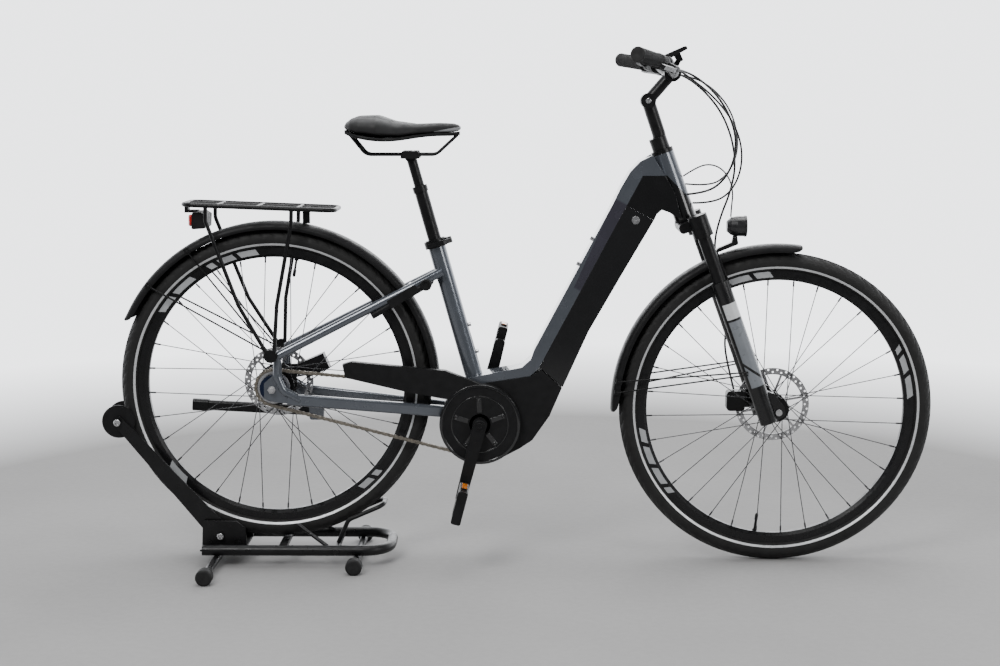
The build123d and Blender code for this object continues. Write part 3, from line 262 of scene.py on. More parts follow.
M = {
    "slate_paint": surface("slate_paint", GREY, 0.24, 0.5, 0.05, 18.0, 3200.0, 0.012, 0.9, 0.04,
                           0.0009, paint=frame_paint),
    "fork_paint": surface("fork_paint", (0.1, 0.1, 0.1), 0.33, 0.1, 0.06, 40.0, 1500.0, 0.03, 0.4, 0.15,
                          0.0012, paint=fork_paint),
    "gloss_plastic": surface("gloss_plastic", BLACK, 0.16, 0.0, 0.2, 20.0, 1800.0, 0.02, 0.8, 0.0,
                             0.0022, rough_spread=0.05),
    "black_plastic": surface("black_plastic", (0.008, 0.008, 0.0085), 0.48, 0.0, 0.25, 50.0, 1400.0, 0.22,
                             edge=0.05, cell=True, specular=0.2),
    "black_alloy": surface("black_alloy", (0.007, 0.007, 0.0075), 0.36, 0.1, 0.2, 60.0, 2200.0, 0.06,
                           edge=0.1, specular=0.25),
    "stand_steel": surface("stand_steel", (0.007, 0.007, 0.0075), 0.33, 0.1, 0.22, 35.0, 620.0, 0.3,
                           edge=0.4, cell=True),
    "rubber": surface("rubber", (0.011, 0.011, 0.011), 0.72, 0.0, 0.3, 70.0, 1500.0, 0.3, edge=0.1),
    "tyre_rubber": surface("tyre_rubber", (0.01, 0.0098, 0.0096), 0.62, 0.0, 0.28, 26.0, 1300.0, 0.25,
                           edge=0.3),
    "rim_alloy": surface("rim_alloy", (0.007, 0.007, 0.0075), 0.3, 0.1, 0.2, 40.0, 1900.0, 0.04, edge=0.2),
    "spoke_steel": surface("spoke_steel", (0.07, 0.07, 0.073), 0.3, 0.9, 0.25, 90.0, 2400.0, 0.05),
    "steel": surface("steel", (0.5, 0.5, 0.51), 0.27, 1.0, 0.14, 60.0, 1700.0, 0.1, edge=0.2),
    "chain_steel": surface("chain_steel", (0.26, 0.235, 0.2), 0.36, 1.0, 0.35, 140.0, 2200.0, 0.12,
                           edge=0.4, round_edge=0.0003),
    "silver": surface("silver", (0.58, 0.58, 0.59), 0.26, 1.0, 0.12, 80.0, 2600.0, 0.07, edge=0.2),
    "saddle_cover": surface("saddle_cover", (0.013, 0.013, 0.0135), 0.55, 0.0, 0.22, 30.0, 1150.0, 0.4,
                            edge=0.05, paint=saddle_paint, cell=True),
    "red_lens": surface("red_lens", (0.42, 0.008, 0.006), 0.16, 0.0, 0.3, 160.0, 700.0, 0.5, 1.0, 0.1,
                        cell=True),
    "amber_lens": surface("amber_lens", (0.62, 0.17, 0.01), 0.2, 0.0, 0.3, 200.0, 800.0, 0.6, 1.0, 0.1,
                          cell=True),
    "lamp_body": surface("lamp_body", (0.016, 0.016, 0.017), 0.3, 0.0, 0.2, 60.0, 1500.0, 0.1, 0.3),
    "cable_jacket": surface("cable_jacket", (0.01, 0.01, 0.0105), 0.36, 0.0, 0.2, 90.0, 2600.0, 0.08,
                            edge=0.05),
    "axle_paint": surface("axle_paint", (0.4, 0.4, 0.4), 0.3, 0.6, 0.12, 80.0, 2000.0, 0.06, edge=0.3,
                          paint=axle_paint),
    "reflective_ring": surface("reflective_ring", (0.62, 0.63, 0.64), 0.34, 0.35, 0.08, 60.0, 2200.0,
                               0.25, cell=True),
    "decal": surface("decal", (0.36, 0.37, 0.38), 0.4, 0.0, 0.1, 60.0, 1500.0, 0.03, 0.3, 0.0),
    "screen_glass": surface("screen_glass", (0.012, 0.014, 0.018), 0.08, 0.0, 0.3, 30.0, 900.0, 0.01, 1.0,
                            0.0, rough_spread=0.02),
    "lamp_lens": surface("lamp_lens", (0.55, 0.57, 0.6), 0.1, 0.5, 0.2, 260.0, 420.0, 0.9, 1.0, 0.0,
                         cell=True, rough_spread=0.04),
}
SLOT_OF = {s["node"]: s["material_slot"] for s in frame["record"]["subparts"]}
LOOK_OF = {"fork_lowers": "fork_paint", "rear_axle": "axle_paint", "tail_light": "black_plastic"}


def dress(obj, *looks):
    obj.data.materials.clear()
    for look in looks:
        obj.data.materials.append(M[look])


for node, obj in NODES.items():
    dress(obj, LOOK_OF.get(node, SLOT_OF[node]))
    obj.data.shade_smooth()
    obj.data.set_sharp_from_angle(angle=math.radians(32))


# ---------------------------------------------------------------- shapes
def build(name, points, faces, looks, body, stands_for=(), face_looks=None, angle=35):
    """A mesh from design millimetres, riding one body."""
    mesh = bpy.data.meshes.new(name)
    mesh.from_pydata([row(p) for p in points], [], faces)
    mesh.validate()
    mesh.update()
    obj = bpy.data.objects.new(name, mesh)
    bpy.context.scene.collection.objects.link(obj)
    dress(obj, *looks)
    if face_looks:
        mesh.polygons.foreach_set("material_index", face_looks)
    mesh.shade_smooth()
    mesh.set_sharp_from_angle(angle=math.radians(angle))
    if body:
        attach(obj, body)
    if stands_for:
        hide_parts(*stands_for)
    return obj


class Shape:
    """Collects simple solids into one mesh."""

    def __init__(self):
        self.points, self.faces = [], []

    def rings(self, rings, close_ends=True):
        base, count = len(self.points), len(rings[0])
        for ring in rings:
            self.points += ring
        for k in range(len(rings) - 1):
            a, b = base + k * count, base + (k + 1) * count
            for i in range(count):
                j = (i + 1) % count
                self.faces.append((a + i, a + j, b + j, b + i))
        if close_ends:
            self.faces.append(tuple(base + i for i in range(count))[::-1])
            last = base + (len(rings) - 1) * count
            self.faces.append(tuple(last + i for i in range(count)))

    def lathe(self, origin, axis, profile, count=32, ripple=None):
        """Turns (along, radius) pairs about an axis; ripple changes the radius by angle."""
        axis = Vector(axis).normalized()
        side = axis.orthogonal().normalized()
        other = axis.cross(side)
        rings = []
        for along, radius in profile:
            centre = Vector(origin) + axis * along
            ring = []
            for i in range(count):
                t = 2 * math.pi * i / count
                r = radius + (ripple(along, t) if ripple else 0.0)
                ring.append(centre + side * (r * math.cos(t)) + other * (r * math.sin(t)))
            rings.append(ring)
        self.rings(rings)

    def tube(self, points, radius, count=12):
        """A round bar along a line of points."""
        points = [Vector(p) for p in points]
        up = None
        rings = []
        for k, p in enumerate(points):
            ahead = points[min(k + 1, len(points) - 1)] - points[max(k - 1, 0)]
            ahead.normalize()
            if up is None:
                up = ahead.orthogonal().normalized()
            up = (up - ahead * up.dot(ahead)).normalized()
            side = ahead.cross(up)
            rings.append([p + up * (radius * math.cos(2 * math.pi * i / count))
                          + side * (radius * math.sin(2 * math.pi * i / count)) for i in range(count)])
        self.rings(rings)

    def bolt(self, origin, axis, radius, height):
        """A round head with a hexagon socket."""
        axis = Vector(axis).normalized()
        side = axis.orthogonal().normalized()
        other = axis.cross(side)
        rings = []
        for along, size, has_flats in ((0, radius, False), (height * 0.75, radius, False),
                                       (height, radius * 0.86, False), (height, radius * 0.5, True),
                                       (height * 0.35, radius * 0.5, True)):
            centre = Vector(origin) + axis * along
            ring = []
            for i in range(24):
                t = 2 * math.pi * i / 24
                from_flat = (t + math.pi / 6) % (math.pi / 3) - math.pi / 6
                r = size / math.cos(from_flat) if has_flats else size
                ring.append(centre + side * (r * math.cos(t)) + other * (r * math.sin(t)))
            rings.append(ring)
        self.rings(rings)

    def prism(self, outline, y0, y1):
        """An outline in x and z, from y0 to y1."""
        self.rings([[Vector((x, y, z)) for x, z in outline] for y in (y0, y1)])

    def block(self, centre, x_axis, y_axis, z_axis, size):
        c = Vector(centre)
        x, y, z = (Vector(v).normalized() * s / 2 for v, s in zip((x_axis, y_axis, z_axis), size))
        self.rings([[c + sz * z + sx * x + sy * y for sx, sy in ((-1, -1), (1, -1), (1, 1), (-1, 1))]
                    for sz in (-1, 1)])

    def make(self, name, looks, body, stands_for=(), angle=35, slot=None):
        return build(name, self.points, self.faces, looks, body, stands_for, None, angle)


def curve(points, steps=10):
    """A smooth line that touches the middle of each straight run."""
    pts = [Vector(p) for p in points]
    mids = [pts[0]] + [(a + b) / 2 for a, b in zip(pts[1:-2], pts[2:-1])] + [pts[-1]]
    line = [pts[0]]
    for a, c, b in zip(mids, pts[1:-1], mids[1:]):
        for k in range(1, steps + 1):
            t = k / steps
            line.append(a * (1 - t) ** 2 + c * 2 * t * (1 - t) + b * t * t)
    return line


def on_circle(centre, radius, degrees, y):
    a = math.radians(degrees)
    return Vector((centre.x + radius * math.cos(a), y, centre.z + radius * math.sin(a)))


# ---------------------------------------------------------------- tyres
TREAD_STEPS = 756           # steps round the tyre, about 3 mm each
TREAD_FROM = 340.5          # radius where the shoulder blocks start
CROWN_FROM = 351.0          # radius where the crown starts
CROWN_HALF = 6.0
GROOVE_TO = 7.8             # the two long grooves lie between CROWN_HALF and this
RING_FROM, RING_TO = 321.0, 325.8


def tread_cut(step, r, y):
    """How far the tread is cut back at one step round the tyre."""
    side = abs(y)
    if r > CROWN_FROM and side < CROWN_HALF:
        return 1.1 if (step + side * 0.9) % 7 < 1.4 else 0.0
    if r > CROWN_FROM and CROWN_HALF < side < GROOVE_TO:
        return 1.5
    if r > TREAD_FROM and side > GROOVE_TO:
        return 1.7 if (step + side * 0.55 + (4 if y > 0 else 0)) % 9 < 2.2 else 0.0
    return 0.0


def tyre(name, centre, body, node):
    """A tyre with tread blocks and a reflecting ring on each side."""
    section = [(316.4, 11.0), (316.6, 13.2), (318.2, 16.4), (320.6, 19.2), (321.4, 19.9),
               (325.4, 21.9), (326.2, 22.4), (330, 23.2), (334, 23.5), (338, 23.3), (341, 22.8),
               (341.6, 22.3), (344.6, 20.9), (347, 19.0), (349.2, 16.9), (350.9, 14.8), (352.4, 12.6),
               (353.6, 10.6), (354.7, 8.6), (355.2, 7.4), (355.7, 6.2), (356.2, 4.8), (356.6, 3.2),
               (356.9, 1.5)]
    outside = section + [(357.0, 0.0)] + [(r, -y) for r, y in reversed(section)]
    inside = [(318.5, -9.6), (330, -14), (345, -13), (350, 0), (345, 13), (330, 14), (318.5, 9.6)]
    profile = outside + inside
    points = []
    faces = []
    looks = []
    for i in range(TREAD_STEPS):
        a = 2 * math.pi * i / TREAD_STEPS
        for k, (r, y) in enumerate(profile):
            depth = tread_cut(i, r, y) if k < len(outside) else 0.0
            points.append(on_circle(centre, r - depth, math.degrees(a), y))
    count = len(profile)
    for i in range(TREAD_STEPS):
        a, b = i * count, ((i + 1) % TREAD_STEPS) * count
        for k in range(count):
            m = (k + 1) % count
            faces.append((a + k, a + m, b + m, b + k))
            (r0, y0), (r1, y1) = profile[k], profile[m]
            on_ring = RING_FROM < (r0 + r1) / 2 < RING_TO and min(abs(y0), abs(y1)) > 18
            looks.append(1 if on_ring else 0)
    build(name, points, faces, ("tyre_rubber", "reflective_ring"), body, (node,), looks, 28)


tyre("rear_tyre_treaded", REAR, "rear_wheel", "rear_tyre")
tyre("front_tyre_treaded", FRONT, "front_wheel", "front_tyre")


MARK_INNER, MARK_OUTER, MARK_Y = 301.0, 314.5, 12.75


def wheel_details(name, centre, body, groups, valve):
    """Slanted blocks on both sides of the rim, as (start, end, lean) in degrees, and the valve."""
    marks = Shape()
    for start, end, lean in groups:
        steps = max(3, int(abs(end - start)))
        for y in (-MARK_Y, MARK_Y):
            ring = []
            for k in range(steps + 1):
                ring.append(on_circle(centre, MARK_INNER, start + (end - start) * k / steps, y))
            for k in reversed(range(steps + 1)):
                ring.append(on_circle(centre, MARK_OUTER, start + lean + (end - start) * k / steps, y))
            first = len(marks.points)
            last = first + len(ring) - 1
            marks.points += ring
            for k in range(steps):
                marks.faces.append((first + k, first + k + 1, last - 1 - k, last - k))
    marks.make(name + "_rim_marks", ("decal",), body, slot="silver")
    stem = Shape()
    outward = on_circle(centre, 1.0, valve, 0.0) - centre
    foot = on_circle(centre, 296.0, valve, 0.0)
    stem.lathe(foot, -outward, [(0, 3), (3, 3), (3.2, 5), (6, 5), (6.2, 2.7), (28, 2.7), (28.2, 3.8),
                               (40, 3.8), (44, 2.4)], 16)
    stem.make(name + "_valve", ("black_plastic",), body)


wheel_details("front", FRONT, "front_wheel",
              [(4, 13, 1.5), (15, 22, 1.5), (24, 26.5, 1.5), (190, 196, -1.5), (198, 206, -1.5),
               (208, 216, -1.5), (218, 221, -1.5), (92, 99, 1.5), (101, 110, 1.5)], 262)
wheel_details("rear", REAR, "rear_wheel",
              [(96, 104, 1.5), (106, 113, 1.5), (115, 118, 1.5), (126, 136, 1.5), (138, 146, 1.5),
               (-52, -46, 1.5), (-44, -41, 1.5), (216, 226, 1.5)], 80)


def rotor_bolts(name, centre, body, y, radius):
    heads = Shape()
    for k in range(6):
        heads.bolt(on_circle(centre, radius, 60 * k + 12, y), (0, 1, 0), 4.2, 2.4)
    heads.make(name, ("silver",), body, slot="silver")


rotor_bolts("rear_rotor_bolts", REAR, "rear_wheel", 39.4, 22.0)
rotor_bolts("front_rotor_bolts", FRONT, "front_wheel", 39.4, 22.0)


# ---------------------------------------------------------------- chain
CHAIN_Y = -47.0
CHAIN_PITCH = 12.7
SPROCKET_LINE, CHAINRING_LINE = 41.0, 78.0
ARC_STEPS = 40


def chain():
    """Links round the two sprockets, outer and inner plates in turn."""
    r0, r1 = SPROCKET_LINE, CHAINRING_LINE
    d = CRANK - REAR
    reach = math.hypot(d.x, d.z)
    base = math.atan2(d.z, d.x)
    swing = math.acos((r0 - r1) / reach)
    upper, lower = base + swing, base - swing
    line = []
    for k in range(ARC_STEPS + 1):
        a = lower + (upper - lower) * k / ARC_STEPS
        line.append(on_circle(CRANK, r1, math.degrees(a), 0.0))
    for k in range(ARC_STEPS + 1):
        a = upper + (2 * math.pi - (upper - lower)) * k / ARC_STEPS
        line.append(on_circle(REAR, r0, math.degrees(a), 0.0))
    line.append(line[0])
    lengths = [(b - a).length for a, b in zip(line, line[1:])]
    total = sum(lengths)
    count = 2 * round(total / CHAIN_PITCH / 2)
    pitch = total / count

    def at(s):
        s %= total
        for a, b, length in zip(line, line[1:], lengths):
            if s <= length:
                return a + (b - a) * (s / length)
            s -= length
        return line[-1]
    body = Shape()
    y = CHAIN_Y
    for k in range(count):
        p, q = at(k * pitch), at((k + 1) * pitch)
        ahead = (q - p).normalized()
        across = Vector((ahead.z, 0, -ahead.x))
        outline = []
        for centre, turn in ((q, -1), (p, 1)):
            for i in range(7):
                t = math.pi * i / 6
                outline.append(centre - ahead * (turn * math.sin(t) * 4.0)
                               - across * (turn * math.cos(t) * 4.0))
        waist = (p + q) / 2
        outline.insert(7, waist - across * 2.9)
        outline.append(waist + across * 2.9)
        flat = [(v.x, v.z) for v in outline]
        outer = k % 2 == 0
        for side in (-1, 1):
            near, far = (3.0, 4.0) if outer else (1.9, 2.9)
            body.prism(flat, y + side * near, y + side * far)
        body.lathe((p.x, y - 4.4, p.z), (0, 1, 0), [(0, 1.3), (0.3, 1.8), (8.5, 1.8), (8.8, 1.3)], 10)
        body.lathe((p.x, y - 1.8, p.z), (0, 1, 0), [(0, 3.9), (3.6, 3.9)], 12)
    body.make("chain_links", ("chain_steel",), "frame", ("chain",), slot="chain_steel")


chain()


# ---------------------------------------------------------------- saddle
UNDERSIDE_LIFT = 8.0        # from the low line up to the cushion's underside


def saddle():
    """A pad lofted through (x, half width, low, high) stations, with seams and a channel."""
    stations = [(168, 44, 986, 1002), (172, 60, 982, 1008), (184, 72, 977, 1016), (200, 80, 972, 1021),
                (240, 84, 966, 1021), (285, 62, 966, 1009), (330, 38, 972, 1004), (380, 25, 976, 1006),
                (410, 20.5, 977, 1005), (421, 17.5, 979, 1002), (426, 11, 983, 998)]

    def at(x):
        for (x0, *a), (x1, *b) in zip(stations, stations[1:]):
            if x <= x1:
                t = (x - x0) / (x1 - x0)
                t = t * t * (3 - 2 * t) * 0.35 + t * 0.65
                return [p + (q - p) * t for p, q in zip(a, b)]
        return list(stations[-1][1:])
    rings = []
    around, slices = 120, 150
    rear, nose = stations[0][0], stations[-1][0]
    for k in range(slices):
        x = rear + (nose - rear) * k / (slices - 1)
        half, low, top = at(x)
        low += UNDERSIDE_LIFT
        mid = low + (top - low) * 0.38
        ring = []
        for i in range(around):
            t = 2 * math.pi * i / around
            c, s = math.cos(t), math.sin(t)
            y = half * math.copysign(abs(c) ** 0.72, c)
            z = mid + (top - mid) * s ** 0.8 if s > 0 else mid - (mid - low) * (-s) ** 0.5
            if s > 0:
                part = abs(y) / half
                channel = 2.6 * math.exp(-(y / 7.0) ** 2) * min(1, max(0, (x - 205) / 30))
                seam = 0.9 * math.exp(-((part - 0.66) / 0.018) ** 2)
                wing = 2.4 * math.exp(-((part - 0.4) / 0.22) ** 2) * math.exp(-((x - 235) / 42) ** 2)
                cross = 0.8 * math.exp(-((x - 318 - part * 26) / 1.3) ** 2)
                z += wing - channel - seam - cross
            ring.append(Vector((x, y, z)))
        rings.append(ring)
    pad = Shape()
    pad.rings(rings)
    obj = pad.make("saddle_cushion", ("saddle_cover",), "saddle", ("saddle_pad",), 50, "saddle_cover")


saddle()


# ---------------------------------------------------------------- mudguards
def mudguard(name, centre, start, end, body, node, wires):
    """A curved blade with rolled edges, its wire stays and their clips."""
    outer = [(359.0, -29.0), (362.5, -29.4), (367.0, -28.2), (371.5, -25.0), (374.6, -19.0), (376.0, -11.0),
             (376.3, 0.0)]
    outer += [(r, -y) for r, y in reversed(outer[:-1])]
    section = outer + [(r - 1.6, y * 0.955) for r, y in reversed(outer)]
    steps = int((end - start) * 1.2)
    shape = Shape()
    rings = []
    for k in range(steps + 1):
        t = k / steps
        tip = min(1.0, min(t, 1 - t) * steps / 7)
        ring = []
        for r, y in section:
            drop = (376.3 - r) * (1 - math.sqrt(tip * (2 - tip))) * 0.6
            ring.append(on_circle(centre, r + drop, start + (end - start) * t, y))
        rings.append(ring)
    shape.rings(rings)
    shape.make(name + "_blade", ("black_plastic",), body, (node,), 40, "black_plastic")
    stays, clips = Shape(), Shape()
    for angle, radius, foot in wires:
        for side in (-1, 1):
            edge = on_circle(centre, 364.0, angle, side * 30.4)
            stays.tube([edge, Vector((foot[0], foot[1] * side, foot[2]))], radius, 10)
            inward = (centre - edge).normalized()
            round_ring = Vector((-inward.z, 0, inward.x))
            clips.block(edge, round_ring, (0, 1, 0), inward, (11, 5.0, 15))
            clips.lathe(edge + Vector((0, side * 2.4, 0)), (0, side, 0),
                        [(0, 3.4), (1.6, 3.4), (2.2, 2.4)], 16)
    stays.make(name + "_stays", ("black_alloy",), body, slot="black_alloy")
    clips.make(name + "_clips", ("black_plastic",), body, slot="black_plastic")


mudguard("rear_mudguard", REAR, 0, 156, "frame", "rear_mudguard",
         [(141, 2.0, (-6, 60, 489)), (122, 2.0, (-6, 60, 489))])
STEER_UP = Vector((-math.sin(HEAD_TILT), 0, math.cos(HEAD_TILT)))
STEER_FORE = Vector((math.cos(HEAD_TILT), 0, math.sin(HEAD_TILT)))
LEG = HEAD + STEER_FORE * 11 + STEER_UP * -450
mudguard("front_mudguard", FRONT, 82, 181, "lowers", "front_mudguard",
         [(174, 1.8, (LEG.x, 83, LEG.z)), (170, 1.8, (LEG.x, 83, LEG.z + 6))])


# ---------------------------------------------------------------- guard, motor and ring lock
GUARD_Y = -61.0
LOCK_LOW, LOCK_HIGH = Vector((227, 0, 574)), Vector((348, 0, 644))


def guard_rings():
    """Two raised rings and five arms on the chain guard."""
    shape = Shape()
    centre = CRANK + Vector((0, GUARD_Y, 0))
    shape.lathe(centre, (0, -1, 0), [(-0.5, 91.6), (1.0, 91.2), (1.8, 89.5), (1.8, 86), (0.8, 84.6),
                                     (-0.5, 84.2)], 120)
    shape.lathe(centre, (0, -1, 0), [(-0.5, 66), (0.7, 65.4), (1.1, 64), (0.7, 62.6), (-0.5, 62)], 96)
    for k in range(5):
        a = 72 * k + 20
        foot = on_circle(CRANK, 27, a, GUARD_Y - 0.6)
        tip = on_circle(CRANK, 60, a, GUARD_Y - 0.6)
        ahead = (tip - foot).normalized()
        across = (ahead.z, 0, -ahead.x)
        shape.block((foot + tip) / 2, ahead, across, (0, 1, 0), ((tip - foot).length, 11, 1.6))
        shape.bolt(on_circle(CRANK, 56, a, GUARD_Y - 1.2), (0, -1, 0), 4.0, 1.6)
    shape.make("guard_rings", ("gloss_plastic",), "frame", slot="gloss_plastic")


def ring_lock():
    """The two arms of a ring lock under the seat stays."""
    lock = Shape()
    low, high = LOCK_LOW, LOCK_HIGH
    run = (high - low).normalized()
    out = Vector((-run.z, 0, run.x))
    for side in (-1, 1):
        a = Vector((low.x, side * 45, low.z))
        b = Vector((high.x, side * 45, high.z))
        lock.tube([a - run * 2, a, a + run * 1, b], 8.0, 20)
        lock.block((a + b) / 2 + out * 3 + run * 12, run, (0, 1, 0), out, (74, 17, 20))
        lock.lathe(b + Vector((0, side * 4, 0)), (0, side, 0),
                   [(-8, 13), (4, 13), (6, 11.6), (6, 7), (4.6, 6.4)], 36)
    lock.make("ring_lock", ("black_plastic",), "frame", slot="black_plastic")


guard_rings()
ring_lock()


# ---------------------------------------------------------------- bars
def flip(p, side):
    """The point or direction on the other side of the bicycle when side is -1."""
    return Vector((p[0], p[1] * side, p[2]))


def grips():
    shape = Shape()
    profile = [(38.5, 12.6), (38.7, 17.0), (42.5, 17.0), (43, 15.2)]
    s = 45.0
    while s < 160:
        profile += [(s, 15.0), (s + 0.5, 15.9), (s + 2.1, 15.9), (s + 2.6, 15.0)]
        s += 4.2
    profile += [(162, 15.4), (163, 16.2), (166.4, 16.2), (168.4, 14.6), (168.8, 9.0), (168.0, 4.0)]
    for side in (-1, 1):
        shape.lathe(flip(BAR_POINT, side), flip(BAR_OUT, side), profile, 40,
                    lambda along, t: 0.35 * math.cos(3 * t) if 46 < along < 160 else 0.0)
    shape.make("ribbed_grips", ("rubber",), "steering", ("grips",), slot="rubber")
    twist = Shape()
    twist.lathe(flip(BAR_POINT, -1), flip(BAR_OUT, -1),
                [(9, 12.6), (9, 15.6), (9.6, 16.4), (14, 16.4), (14.6, 15.6), (15.2, 16.2), (36.4, 16.6),
                 (37.4, 15.6), (37.4, 12.6)], 96,
                lambda along, t: 0.55 * math.cos(20 * t) if 15.5 < along < 37 else 0.0)
    twist.make("twist_shifter", ("rubber",), "gear_shifter", ("shifter",), slot="black_plastic")


grips()


# ---------------------------------------------------------------- cables
def port(z, y):
    """A cable's way into the front of the head tube."""
    x = HEAD.x - (z - HEAD.z) * math.tan(HEAD_TILT)
    ahead = math.sqrt(HEAD_TUBE_R ** 2 - y ** 2) + 0.8 + abs(y) / 10
    return (x + ahead / math.cos(HEAD_TILT), y, z)


# radius, a pair of body names, a top and a foot height, and its line
ROUTES = {
    "front_brake_hose": (2.5, ("steering", "lowers"), 1090, 700, [
        (895.5, 147, 1121.7), (913, 107, 1118), (944, 72, 1104), (982, 56, 1072), (1018, 50, 1026),
        (1042, 50, 968), (1052, 56, 906), (1042, 66, 846), (1022, 80, 790), (1010, 94, 732),
        (1016, 100, 674), (1028, 99, 616), (1038, 96, 562), (1040, 91, 520), (1037, 83, 488),
        (1041, 72, 458), (1048, 61, 424), (1056, 51, 389.6)]),
    "rear_brake_hose": (2.5, ("steering", "frame"), 1100, 852, [
        (895.5, -147, 1121.7), (914, -108, 1119), (946, -76, 1106), (986, -58, 1076), (1020, -50, 1030),
        (1040, -46, 974), (1036, -40, 918), (1012, -34, 874), (976, -26, 850), port(846, -18)]),
    "shift_cable": (2.2, ("steering", "frame"), 1100, 832, [
        (887.4, -136.8, 1126.8), (903, -101, 1122), (936, -72, 1102), (982, -52, 1068),
        (1024, -40, 1022), (1052, -33, 966), (1056, -26, 906), (1036, -20, 854), (996, -14, 826),
        port(826, -8)]),
    "display_lead": (2.0, ("steering", "frame"), 1100, 870, [
        (918.4, 14, 1111), (952, 24, 1106), (994, 32, 1082), (1030, 33, 1042), (1050, 30, 990),
        (1052, 24, 934), (1028, 18, 886), (988, 12, 862), port(868, 8)]),
}
LAMP_LEAD = [port(886, -5), (950, -8, 902), (980, -8, 914), (1010, -6, 906), (1032, -4, 880),
             (1040, -2, 846), (1037, 0, 818), (1036, 0.4, 793.9)]
LAMP_LEAD_R = 1.8


def cables():
    for name, (radius, pair, top, foot, route) in ROUTES.items():
        shape = Shape()
        shape.tube(curve(route, 12), radius, 12)
        obj = shape.make(name, ("cable_jacket",), None, ("cables",), slot="cable_jacket")
        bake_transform(obj)
    line = curve(LAMP_LEAD, 12)
    split = len(line) // 2
    upper = Shape()
    upper.tube(line[:split + 1], LAMP_LEAD_R, 12)
    obj = upper.make("lamp_lead", ("cable_jacket",), None, ("cables",), slot="cable_jacket")
    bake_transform(obj)
    lower = Shape()
    lower.tube(line[split:], LAMP_LEAD_R, 12)
    obj = lower.make("lamp_lead_end", ("cable_jacket",), None, ("cables",), slot="cable_jacket")
    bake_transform(obj)


cables()


# ---------------------------------------------------------------- lamps, reflectors, screen
LAMP_FRONT = Vector((1070, 0, 773))
TAIL_Z = 788.0


def lamps():
    """Lens and rim of the headlight, and the lens of the tail light."""
    lens = Shape()
    lens.lathe(LAMP_FRONT + Vector((-0.2, 0, 0)), (1, 0, 0),
               [(0, 20.5), (0.8, 20.5), (2.0, 18.5), (2.6, 12), (2.8, 4)], 48)
    lens.make("headlight_lens", ("lamp_lens",), "lamp", slot="lamp_body")
    ring = Shape()
    ring.lathe(LAMP_FRONT + Vector((-2.5, 0, 0)), (1, 0, 0),
               [(-1, 23.0), (-1, 24.2), (3.6, 24.2), (4.2, 23.2), (4.2, 21.2), (2.0, 20.8)], 48)
    ring.make("headlight_rim", ("lamp_body",), "lamp", slot="lamp_body")
    tail = Shape()
    outline = [(-34, -13), (34, -13), (37, -9), (37, 9), (34, 13), (-34, 13), (-37, 9), (-37, -9)]
    tail.rings([[Vector((x, y * grow, TAIL_Z + z * grow)) for y, z in outline]
                for x, grow in ((-179, 1.0), (-184, 1.0), (-187, 0.92))])
    tail.make("tail_light_lens", ("red_lens",), "frame", slot="red_lens")


lamps()


CRANK_LEAN = math.radians(14.5)
CRANK_LENGTH = 170.0


def pedal_reflectors(body, side):
    """The amber strips at the two ends of one pedal, which points along its crank arm."""
    arm = Vector((side * math.sin(CRANK_LEAN), 0, side * math.cos(CRANK_LEAN)))
    pedal = CRANK + arm * CRANK_LENGTH + Vector((0, side * 140, 0))
    shape = Shape()
    for way in (-1, 1):
        shape.block(pedal + arm * (way * 41.8), arm, (0, 1, 0), (arm.z, 0, -arm.x), (1.8, 41, 12))
    shape.make(body + "_reflectors", ("amber_lens",), body, slot="red_lens")


for side, pedal in ((-1, "right_pedal"), (1, "left_pedal")):
    pedal_reflectors(pedal, side)


def screen():
    """The glass on the display, which tilts back 28 degrees."""
    t = math.radians(28)
    ahead, up = Vector((math.cos(t), 0, math.sin(t))), Vector((-math.sin(t), 0, math.cos(t)))
    base = Vector((915, 0, 1146))
    rise = (ahead * 52 + up * -4).normalized()
    normal = Vector((-rise.z, 0, rise.x))
    glass = Shape()
    glass.block(base + ahead * -2 + up * 22.3, rise, (0, 1, 0), normal, (44, 60, 0.8))
    glass.make("display_glass", ("screen_glass",), "screen", slot="gloss_plastic")


screen()


# ---------------------------------------------------------------- bolts and small fittings
def bolts():
    """Bolt heads, as (place, direction, radius, height) for each body, and the crank caps."""
    groups = {
        "stand": [((-129, -51, 62), (0, -1, 0), 8, 6), ((-129, 51, 62), (0, 1, 0), 8, 6)],
        "wheel_arm": [((-361, -43, 326), (0, -1, 0), 8, 5), ((-361, 43, 326), (0, 1, 0), 8, 5)],
        "frame": [((44, 60, 449), (0, 1, 0), 4, 3), ((96, 60, 440), (0, 1, 0), 4, 3)],
        "lowers": [((1070, 60, 380), (0, 1, 0), 4, 3), ((1046, 60, 350), (0, 1, 0), 4, 3)],
        "kickstand": [((81.6, 114, 332), (0.0155, 0.9506, 0.31), 6, 4)],
        "steering": [((846, -17, 1054), (0, -1, 0), 6, 3), ((846, 17, 1054), (0, 1, 0), 6, 3)],
    }
    for body, heads in groups.items():
        shape = Shape()
        for origin, axis, radius, height in heads:
            shape.bolt(origin, axis, radius, height)
        shape.make(body + "_bolts", ("silver",), body, slot="silver")
    caps = Shape()
    for side in (-1, 1):
        caps.lathe(CRANK + Vector((0, side * 80, 0)), (0, side, 0),
                   [(0, 13), (1.2, 13), (2.0, 12), (2.0, 9.5), (0.8, 9)], 40)
        caps.bolt(CRANK + Vector((0, side * 80.4, 0)), (0, side, 0), 7.5, 2.4)
    caps.make("crank_caps", ("black_alloy",), "crank", slot="black_alloy")


bolts()


# ---------------------------------------------------------------- stage
NEAR_GLOW, FAR_GLOW = 0.2, 3.3       # world strength on the camera's side and behind the object
FLOOR_HALF = 60.0
FADE_FROM, FADE_TO = 1.75, 3.4       # metres from the middle where the floor fades into the world
